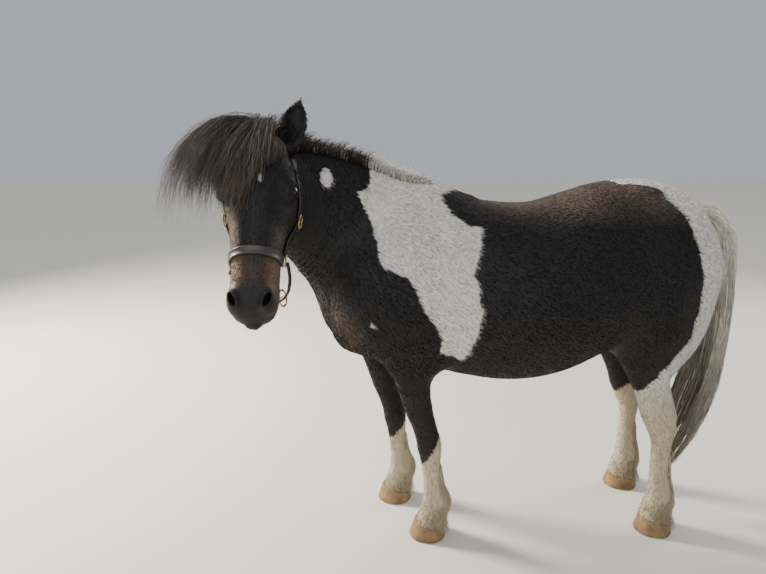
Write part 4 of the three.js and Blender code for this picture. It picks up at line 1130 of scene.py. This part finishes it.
# The forelock's first and last locks in the head's frame, from the poll: down, left, out. A lock that goes
# further to the right than the reach is held back softly.
FORELOCK_FIRST = np.array([
    [-2, 8, -36], [-34, 10, -14], [10, 6, 16], [62, -2, 30], [112, -8, 30], [146, -16, 25], [160, -20, 22],
], float)
FORELOCK_LAST = np.array([
    [0, -40, -38], [-34, -56, -12], [-16, -110, 4], [38, -157, 10],
    [96, -184, 6], [160, -192, 0], [222, -190, -8],
], float)
FORELOCK_REACH = 200
# How far out of the face its surface is felt for.
FACE_FROM = 160.0


def on_face(down, left, rise):
    """A place over the face, seen from in front of it, a given height above the skin."""
    n = len(down)
    top = from_head(np.stack([down, left, np.full(n, FACE_FROM)], axis=1))
    far = touch(body, top, np.tile(-HEAD_AXES[2], (n, 1)), 320)
    return from_head(np.stack([down, left, FACE_FROM - far + rise], axis=1))


def forelock_hair():
    """Frizzy locks from the poll that fan out over the forehead and to the right of the face."""
    clumps = 84
    n, clump = locks(clumps, 52)
    turn = np.clip(rng.random(clumps)[clump] ** 1.25 + 0.05 * rng.normal(size=n), -0.1, 1.08)[:, None]
    reach = (rng.uniform(0.62, 1.06, clumps)[clump] * rng.uniform(0.85, 1.0, n))[:, None]
    drift = rng.normal(size=(clumps, 3))[clump]
    stray = rng.normal(size=(n, 3))
    keys = np.arange(len(FORELOCK_FIRST), dtype=float)
    first = np.column_stack([keys, FORELOCK_FIRST])
    last = np.column_stack([keys, FORELOCK_LAST])
    controls = []
    for f in np.linspace(0, 1, 7):
        t = f * reach[:, 0] * keys[-1]
        q = row_at(first, t)[:, 1:] * (1 - turn) + row_at(last, t)[:, 1:] * turn
        q = q + drift * (4 + 13 * f) * [1, 1, 0.8] + stray * (3 + 9 * f)
        over = np.minimum(q[:, 1] + FORELOCK_REACH, 0) / 30
        q[:, 1] -= 30 * (1 - np.exp(over) + over)
        controls.append(q)
    q = np.stack(controls, axis=1)
    lines = along_lines(from_head(q), 7)
    frizz = rng.uniform(3, 8, (n, 1, 1))
    lines = wave(wave(lines, 1.2, frizz), 2.6, 0.4 * frizz)
    # The tips are painted lighter than the dark roots, the outer locks over the right of the face most, and a
    # share of strands is pale: painted backlight, sheen and highlights on the hair, and painted shade at the
    # roots.
    outer = np.clip(turn[:, 0], 0, 1)
    tips = mix(FORELOCK_BROWN * 1.35, FORELOCK_PALE, 0.45 * outer)
    tones = hair_colours(FORELOCK_BROWN * 0.5, tips, n, 0.15, FORELOCK_PALE)
    width = rng.uniform(0.9, 1.6, n) * (1 - 0.4 * outer)
    strands("forelock_hair", lines, width, 0.7, HEAD_AXES[2], tones, lines[:, 0])


def brow_hair():
    """The part of the forelock that lies on the forehead."""
    clumps = 60
    n, clump = locks(clumps, 47)
    left = (np.linspace(-70, 60, clumps) + 4 * rng.normal(size=clumps))[clump] + 3 * rng.normal(size=n)
    down = np.interp(left, [-70, -25, 20, 60], [156, 132, 104, 84]) * rng.uniform(0.55, 1.05, clumps)[clump]
    down *= rng.uniform(0.85, 1.05, n)
    lift = (3 + 12 * rng.random(clumps))[clump] + 3 * rng.random(n)
    zero = np.zeros(n)
    controls = np.stack([
        on_face(zero + 12, 0.66 * left - 2, zero - 9),
        on_face(zero - 2, 0.7 * left - 3, lift + 8),
        on_face(0.16 * down, 0.82 * left - 5, lift + 13),
        on_face(0.42 * down, 0.95 * left - 8, lift + 12),
        on_face(0.72 * down, left - 11, lift + 4),
        on_face(down, left - 15, lift - 2),
    ], axis=1)
    lines = wave(wave(along_lines(controls, 6), 1.2, 5.0), 2.4, 2.2)
    # The roots are painted darker than the tips: painted shade where the hairs lie close on the forehead.
    tones = hair_colours(FORELOCK_BROWN * 0.4, FORELOCK_BROWN * 0.75, n, 0.1, FORELOCK_PALE * 0.8)
    strands("brow_hair", lines, rng.uniform(1.0, 2.0, n), 0.7, HEAD_AXES[2], tones, lines[:, 0])


def tail_spot(t, turn, share):
    _, x, y, z, long, wide = row_at(TAIL, t).T
    along = unit(row_at(TAIL, t + 0.1)[:, 1:4] - row_at(TAIL, t - 0.1)[:, 1:4])
    up = unit(np.cross(along, [0, 1.0, 0]))
    p = np.stack([x, y + share * wide * np.cos(turn), z], axis=1)
    return p + up * (share * long * np.sin(turn))[:, None]


def tail_colour(t, turn, dark):
    """White at the top and down the rear side, then grey brown, with darker locks low down."""
    reach = 2.4 + 2.3 * ramp(np.sin(turn), -0.9, 0.4)
    fade = ramp(t - reach, -0.9, 0.9)
    low = mix(TAIL_GREY, TAIL_DARK, dark * ramp(t, 2.5, 5.5) + 0.3 * ramp(t, 5, 7.5))
    return mix(HAIR_WHITE, low, fade)


def tail_hair(name, clumps, each, low, high):
    n, clump = locks(clumps, each)
    turn = rng.uniform(0, 2 * math.pi, clumps)[clump] + 0.22 * rng.normal(size=n)
    start = rng.uniform(low, high, clumps)[clump] + 0.12 * rng.normal(size=n)
    end = np.clip(start + rng.uniform(2.0, 4.8, clumps)[clump] + 0.5 * rng.normal(size=n), 1.6, 8.9)
    out = rng.uniform(0.5, 1.08, clumps)[clump] * rng.uniform(0.8, 1.04, n)
    drift = 0.4 * rng.normal(size=clumps)[clump]
    controls = [
        tail_spot(start + f * (end - start), turn + drift * f, out * share)
        for f, share in ((0, 0.35), (0.12, 0.75), (0.35, 0.96), (0.6, 1.0), (0.82, 0.97), (1, 0.92))
    ]
    lines = wave(wave(along_lines(np.stack(controls, axis=1), 6), 1.3, 4.0), 2.4, 1.5)
    dark = (0.25 + 0.75 * (rng.random(clumps) < 0.45))[clump]
    root, tip = tail_colour(start, turn, dark), tail_colour(end, turn, dark)
    tones = hair_colours(root, tip, n, 0.04, HAIR_WHITE * 0.8, 0.14)
    flat = unit(tail_spot(start + 1, turn, np.ones(n)) - tail_spot(start + 1, turn, np.zeros(n)))
    strands(name, lines, rng.uniform(1.6, 3.2, n), 1.2, flat, tones, lines[:, 0])


def round_leg(which, z, turn, r):
    """Points round the legs: height, turn about the leg from its rear, and height above the surface."""
    p = np.empty((len(z), 3))
    for k, (table, x, y, lean) in enumerate(LEGS.values()):
        m = which == k
        _, shift, long, wide = row_at(table, z[m]).T
        p[m, 0] = x + shift + (long + r[m]) * np.cos(turn[m])
        p[m, 1] = y + lean * z[m] + (wide + r[m]) * np.sin(turn[m])
        p[m, 2] = z[m]
    return p


def feather_hair():
    """The feather round the fetlocks, and the fringe down the back of the cannons."""
    n = int(6200 * SHARE)
    which = rng.integers(0, len(LEGS), n)
    fringe = rng.random(n) < 0.4
    turn = np.where(fringe, 0.42 * rng.normal(size=n), 1.3 * rng.normal(size=n))
    turn = np.clip(turn, -2.9, 2.9)
    top = np.where(fringe, rng.uniform(96, 235, n), rng.uniform(44, 118, n) - 7 * np.abs(turn))
    length = np.where(fringe, rng.uniform(26, 48, n), rng.uniform(18, 44, n) * (1.1 - 0.22 * np.abs(turn)))
    low = np.maximum(top - length, np.where(np.abs(turn) < 1.2, 17, 25))
    back = np.clip(np.cos(turn), 0, 1)
    heel = np.where(fringe, 1.5 + 4 * back, 2 + 8 * back) * rng.uniform(0.5, 1.2, n)
    over = np.where(low < 48, 2.5 + 6 * back, 0)
    zero = np.zeros(n)
    controls = np.stack([
        round_leg(which, top, turn, zero - 6),
        round_leg(which, top - 5, turn, zero + 1.0),
        round_leg(which, top + 0.5 * (low - top), turn, 0.85 * heel),
        round_leg(which, low, turn, heel + over),
    ], axis=1)
    lines = wave(along_lines(controls, 4), 1.0, 1.5)
    root = coat_colour(lines[:, 1])
    soil = rng.random(n) * ramp(-low, -60, -20)
    tip = mix(root, DIRT, 0.5 * soil)
    tones = hair_colours(root * 0.92, tip * 1.05, n, shade=0.1)
    flat = np.stack([np.cos(turn), np.sin(turn), zero], axis=1)
    strands("feather_hair", lines, rng.uniform(1.2, 2.2, n), 0.9, flat, tones, lines[:, 1])


mane_hair()
crest_hair()
forelock_hair()
brow_hair()
tail_hair("tail_hair_a", 64, 61, -0.1, 1.6)
tail_hair("tail_hair_b", 64, 61, 1.4, 5.0)
feather_hair()


def tube(name, rings, material, closed=False):
    """A tube through rings of points, joined round or capped at both ends."""
    rings = np.asarray(rings, float)
    n, k, _ = rings.shape
    index = np.arange(n * k).reshape(n, k)
    a = index if closed else index[:-1]
    b = np.roll(index, -1, axis=0) if closed else index[1:]
    a1, b1 = np.roll(a, -1, axis=1), np.roll(b, -1, axis=1)
    faces = [np.stack([a, a1, b1], axis=-1).reshape(-1, 3), np.stack([a, b1, b], axis=-1).reshape(-1, 3)]
    points = rings.reshape(-1, 3)
    if not closed:
        points = np.concatenate([points, [rings[0].mean(axis=0)], [rings[-1].mean(axis=0)]])
        first, last = np.full(k, n * k), np.full(k, n * k + 1)
        faces.append(np.stack([first, np.roll(index[0], -1), index[0]], axis=1))
        faces.append(np.stack([last, index[-1], np.roll(index[-1], -1)], axis=1))
    faces = np.concatenate(faces)
    p = points[faces]
    if (p[:, 0] * np.cross(p[:, 1], p[:, 2])).sum() < 0:
        faces = faces[:, ::-1]
    return mesh_object(name, points, faces, material)


# The wall of a hoof: height, half length, half width and how far it lies to the rear.
HOOF_WALL = np.array([
    [0, 53.5, 45.5, -4], [1.2, 55.5, 47.6, -4], [4, 56.6, 48.7, -4],
    [30, 50.6, 44.1, -2], [70, 41.6, 36.6, 4],
])


def hooves():
    """Each hoof's wall leans back from the toe, is shorter at the heel and ends at the coronet."""
    turn = np.linspace(0, 2 * math.pi, 56, endpoint=False)
    back = np.clip(np.cos(turn), 0, 1)
    heel = 1 - 0.14 * back**0.6
    top = 39.5 - 0.2 * (50 * np.cos(turn))
    for name, (_, x, y, _) in LEGS.items():
        rings = []
        for level in [0, 1.2, 4, 12, 0.45, 0.62, 0.8, 0.93, 1.0]:
            z = np.full(len(turn), float(level)) if level >= 1.2 or level == 0 else level * top
            _, long, wide, shift = row_at(HOOF_WALL, z).T
            ridge = 0.35 * np.sin(z * 1.15) if 0 < level < 1 else 0
            rings.append(np.stack([x + shift + (long * heel + ridge) * np.cos(turn),
                                   y + (wide + ridge) * np.sin(turn), z], axis=1))
        inner = rings[-1].copy()
        inner[:, :2] = np.array([x, y]) + (inner[:, :2] - [x, y]) * 0.86
        rings.append(inner - [0, 0, 3])
        obj = tube("hoof_wall_" + name, rings, HORN_MATERIAL)
        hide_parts("hoof_" + name)


# The head's sides, and the sign of their distance to the left.
SIDES = (("left", 1), ("right", -1))


def eyes():
    """A dark, wet eye with a wide pupil that lies along the lids."""
    material, tree, shader = principled("eye_surface", None, 0.16, 0, 0.4)
    shader.inputs["Coat Weight"].default_value = 0.35
    shader.inputs["Coat Roughness"].default_value = 0.03
    tree.links.new(coat_marks(tree), shader.inputs["Base Color"])
    u = np.linspace(0, math.pi, 33)
    v = np.linspace(0, 2 * math.pi, 48, endpoint=False)
    sin, cos = np.sin(u[1:-1]), np.cos(u[1:-1])
    ball = [np.outer(sin, np.cos(v)), np.outer(sin, np.sin(v)), np.outer(cos, np.ones_like(v))]
    local = np.stack(ball, axis=-1)
    flat = np.concatenate([local.reshape(-1, 3), [[0, 0, 1.0], [0, 0, -1.0]]])
    pupil = np.hypot(flat[:, 0] / 0.42, flat[:, 1] / 0.24)
    iris = np.hypot(flat[:, 0], flat[:, 1]) < 0.8
    brown = ramp(pupil, 0.9, 1.3) * iris * (flat[:, 2] > 0)
    for name, side in SIDES:
        middle = np.array([EYE_DOWN, side * EYE_LEFT, EYE_OUT])
        rings = from_head((middle + EYE_RADIUS * local.reshape(-1, 3) @ eye_axes(side))).reshape(local.shape)
        obj = tube("eyeball_" + name, rings, material)
        paint(obj.data, mix(colour(9, 7, 7), colour(34, 20, 13), brown))
        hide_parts("eye_" + name)


def over_head(half):
    """A path across the head from its left half, which ends on the middle."""
    return half + [[down, -left, out] for down, left, out in half[-2::-1]]


# The halter's straps over the skin, in the head's frame: down, left, out. Only the chin strap hangs free.
CHEEK = [[264, 64, -76], [236, 68, -80], [205, 76, -88], [178, 82, -92]]
SIDE = [[160, 84, -92], [130, 88, -88], [90, 86, -82], [56, 78, -80]]
CHIN = [
    [276, 63, -78], [290, 66, -86], [314, 67, -100], [338, 58, -122],
    [348, 34, -138], [340, 0, -142], [318, -38, -124], [292, -66, -84],
]
STRAPS = {
    "halter_noseband": over_head([[282, 60, -66], [278, 59, -34], [274, 34, 2], [272, 0, 8]]),
    "halter_cheek_left": CHEEK,
    "halter_cheek_right": CHEEK,
    "halter_side_left": SIDE,
    "halter_side_right": SIDE,
    "halter_crown": over_head([[42, 74, -84], [12, 60, -100], [-10, 32, -104], [-16, 0, -104]]),
    "halter_throat": over_head([[150, 80, -108], [164, 66, -150], [172, 30, -184], [174, 0, -190]]),
    "halter_chin": CHIN,
}
# Metal on the head's left: place, half sizes and the wire's radius. It is mirrored on the right.
FITTINGS = {"ring": ([275, 63, -70], (13, 11), 2.2), "buckle": ([169, 83, -92], (14, 12), 1.9)}
LEAD_RING = ([345, 48, -130], 19, 2.4)
STRAP_LIFT = 0.5


def strap(name, path, hugs):
    path = from_head(path)
    gaps = np.sqrt(np.linalg.norm(np.diff(path, axis=0), axis=1))
    keys = np.concatenate([[0], np.cumsum(gaps)])
    p = row_at(np.column_stack([keys, path]), np.linspace(0, keys[-1], 64))[:, 1:]
    if hugs:
        p = settle(lambda q: body(q) - STRAP_LIFT, p, 4)
        out = unit(slope(body, p))
    else:
        out = unit(p - (p[0] + p[-1]) / 2)
    along = unit(np.gradient(p, axis=0))
    side = unit(np.cross(out, along))
    out = np.cross(along, side)
    half, t = STRAP_WIDTH / 2, STRAP_THICKNESS
    edge = [(-half, -1.2), (-half, t - 1.4), (-half + 0.8, t - 0.5),
            (-half + 2, t - 0.1), (-half + 3, t - 0.7)]
    profile = edge + [(-w, h) for w, h in reversed(edge)]
    rings = np.stack([p + side * w + out * h for w, h in profile], axis=1)
    obj = tube(name + "_leather", rings, NOSEBAND_MATERIAL if "noseband" in name else LEATHER_MATERIAL)
    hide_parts(name)


def wire_ring(name, path, radius, node):
    along = unit(np.roll(path, -1, axis=0) - np.roll(path, 1, axis=0))
    middle = path.mean(axis=0)
    out = unit(path - middle)
    out = unit(out - (out * along).sum(axis=1, keepdims=True) * along)
    side = np.cross(along, out)
    turn = np.linspace(0, 2 * math.pi, 10, endpoint=False)
    round_wire = np.cos(turn)[None, :, None] * out[:, None] + np.sin(turn)[None, :, None] * side[:, None]
    rings = path[:, None] + radius * round_wire
    obj = tube(name, rings, BRASS_MATERIAL, True)
    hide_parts(node)


def halter():
    for name, path in STRAPS.items():
        mirror = [1, -1, 1] if name.endswith("_right") else [1, 1, 1]
        strap(name, np.array(path, float) * mirror, path is not CHIN)
    turn = np.linspace(0, 2 * math.pi, 48, endpoint=False)
    square = (np.abs(np.cos(turn)) ** 5 + np.abs(np.sin(turn)) ** 5) ** (-1 / 5)
    for kind, (at, (long, wide), wire) in FITTINGS.items():
        for where, sign in SIDES:
            lift = STRAP_THICKNESS + wire + 1
            spot = settle(lambda q: body(q) - lift, from_head([[at[0], sign * at[1], at[2]]]), 5)
            out = unit(slope(body, spot))[0]
            down = unit(HEAD_AXES[0] - (HEAD_AXES[0] @ out) * out)
            across = np.cross(out, down)
            path = spot + np.outer(long * square * np.cos(turn), down)
            path = path + np.outer(wide * square * np.sin(turn), across)
            wire_ring("brass_%s_%s" % (kind, where), path, wire, "halter_%s_%s" % (kind, where))
    at, radius, wire = LEAD_RING
    away = unit(from_head([CHIN[3]])[0] - from_head([CHIN[5]])[0])
    across = unit(np.cross(HEAD_AXES[0], away))
    upward = np.cross(away, across)
    path = from_head([at]) + radius * (np.outer(np.cos(turn), across) + np.outer(np.sin(turn), upward))
    wire_ring("brass_lead_ring", path, wire, "halter_lead_ring")


def tail_core():
    """The tail's dock inside its hair."""
    turn = np.linspace(0, 2 * math.pi, 20, endpoint=False)
    levels = np.linspace(0.1, 5.6, 22)
    share = np.interp(levels, [0, 1, 5.6], [0.8, 0.55, 0.1])
    rings = [tail_spot(np.full(len(turn), t), turn, np.full(len(turn), s)) for t, s in zip(levels, share)]
    core = plain_material("tail_skin", TAIL_DARK, 0.7, 0, 0.3, 60, 0.7, 1.2, 0.3)
    obj = tube("tail_core", rings, core)
    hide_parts("tail")


hooves()
eyes()
halter()
tail_core()

# A pale floor, soft light, and the camera where the photograph was taken from.
FLOOR_SIZE = 40
FLOOR_COLOUR = colour(206, 204, 198)
CAMERA_AT = [-518.5, -1540.6, 1096.5]
CAMERA_HEADING = (0.0715, 0.9974)
CAMERA_PITCH = 13.45
PHOTO_WIDTH = 766
PHOTO_FOCAL = 572.0
SENSOR = 36.0
LIGHT_TARGET = Vector((-0.1, 0, 0.65))
# Soft lights: place, size, power and tint.
LIGHTS = {
    "sun_side": ((-3.2, 1.6, 2.3), 0.9, 430, (1.0, 0.92, 0.78)),
    "fill_front": ((-1.2, -3.8, 2.6), 3.0, 80, (0.93, 0.97, 1.0)),
    "rim_back": ((3.2, 1.6, 2.4), 2.0, 80, (1.0, 0.95, 0.88)),
}


def aimed(name, data, way):
    """Adds a light or camera that looks one way."""
    obj = added(name, data)
    obj.rotation_euler = Vector(way).to_track_quat("-Z", "Y").to_euler()
    return obj


def stage_and_lights():
    half = FLOOR_SIZE / 2
    mesh = bpy.data.meshes.new("floor")
    corners = [(-half, -half, 0), (half, -half, 0), (half, half, 0), (-half, half, 0)]
    mesh.from_pydata(corners, [], [(0, 1, 2, 3)])
    floor = added("floor", mesh)
    mesh.materials.append(principled("floor_paint", FLOOR_COLOUR, 0.85, 0, 0.2)[0])
    world = bpy.data.worlds.new("studio")
    bpy.context.scene.world = world
    world.use_nodes = True
    background = world.node_tree.nodes["Background"]
    background.inputs["Color"].default_value = (0.84, 0.88, 0.95, 1)
    background.inputs["Strength"].default_value = 0.55
    for name, (at, size, power, tint) in LIGHTS.items():
        data = bpy.data.lights.new(name, "AREA")
        data.size, data.energy, data.color = size, power, tint
        aimed(name, data, LIGHT_TARGET - Vector(at)).location = at
    data = bpy.data.lights.new("sky", "SUN")
    data.energy, data.angle, data.color = 1.1, math.radians(50), (1.0, 0.97, 0.92)
    aimed("sky", data, (0.45, -0.3, -1))


def camera():
    data = bpy.data.cameras.new("camera")
    data.sensor_width = SENSOR
    data.lens = PHOTO_FOCAL * SENSOR / PHOTO_WIDTH
    data.clip_start, data.clip_end = 0.05, 100
    heading = unit(np.array([*CAMERA_HEADING, 0]))
    down = math.radians(CAMERA_PITCH)
    obj = aimed("camera", data, heading * math.cos(down) - np.array([0, 0, math.sin(down)]))
    obj.location = place(CAMERA_AT)
    bpy.context.scene.camera = obj


stage_and_lights()
camera()
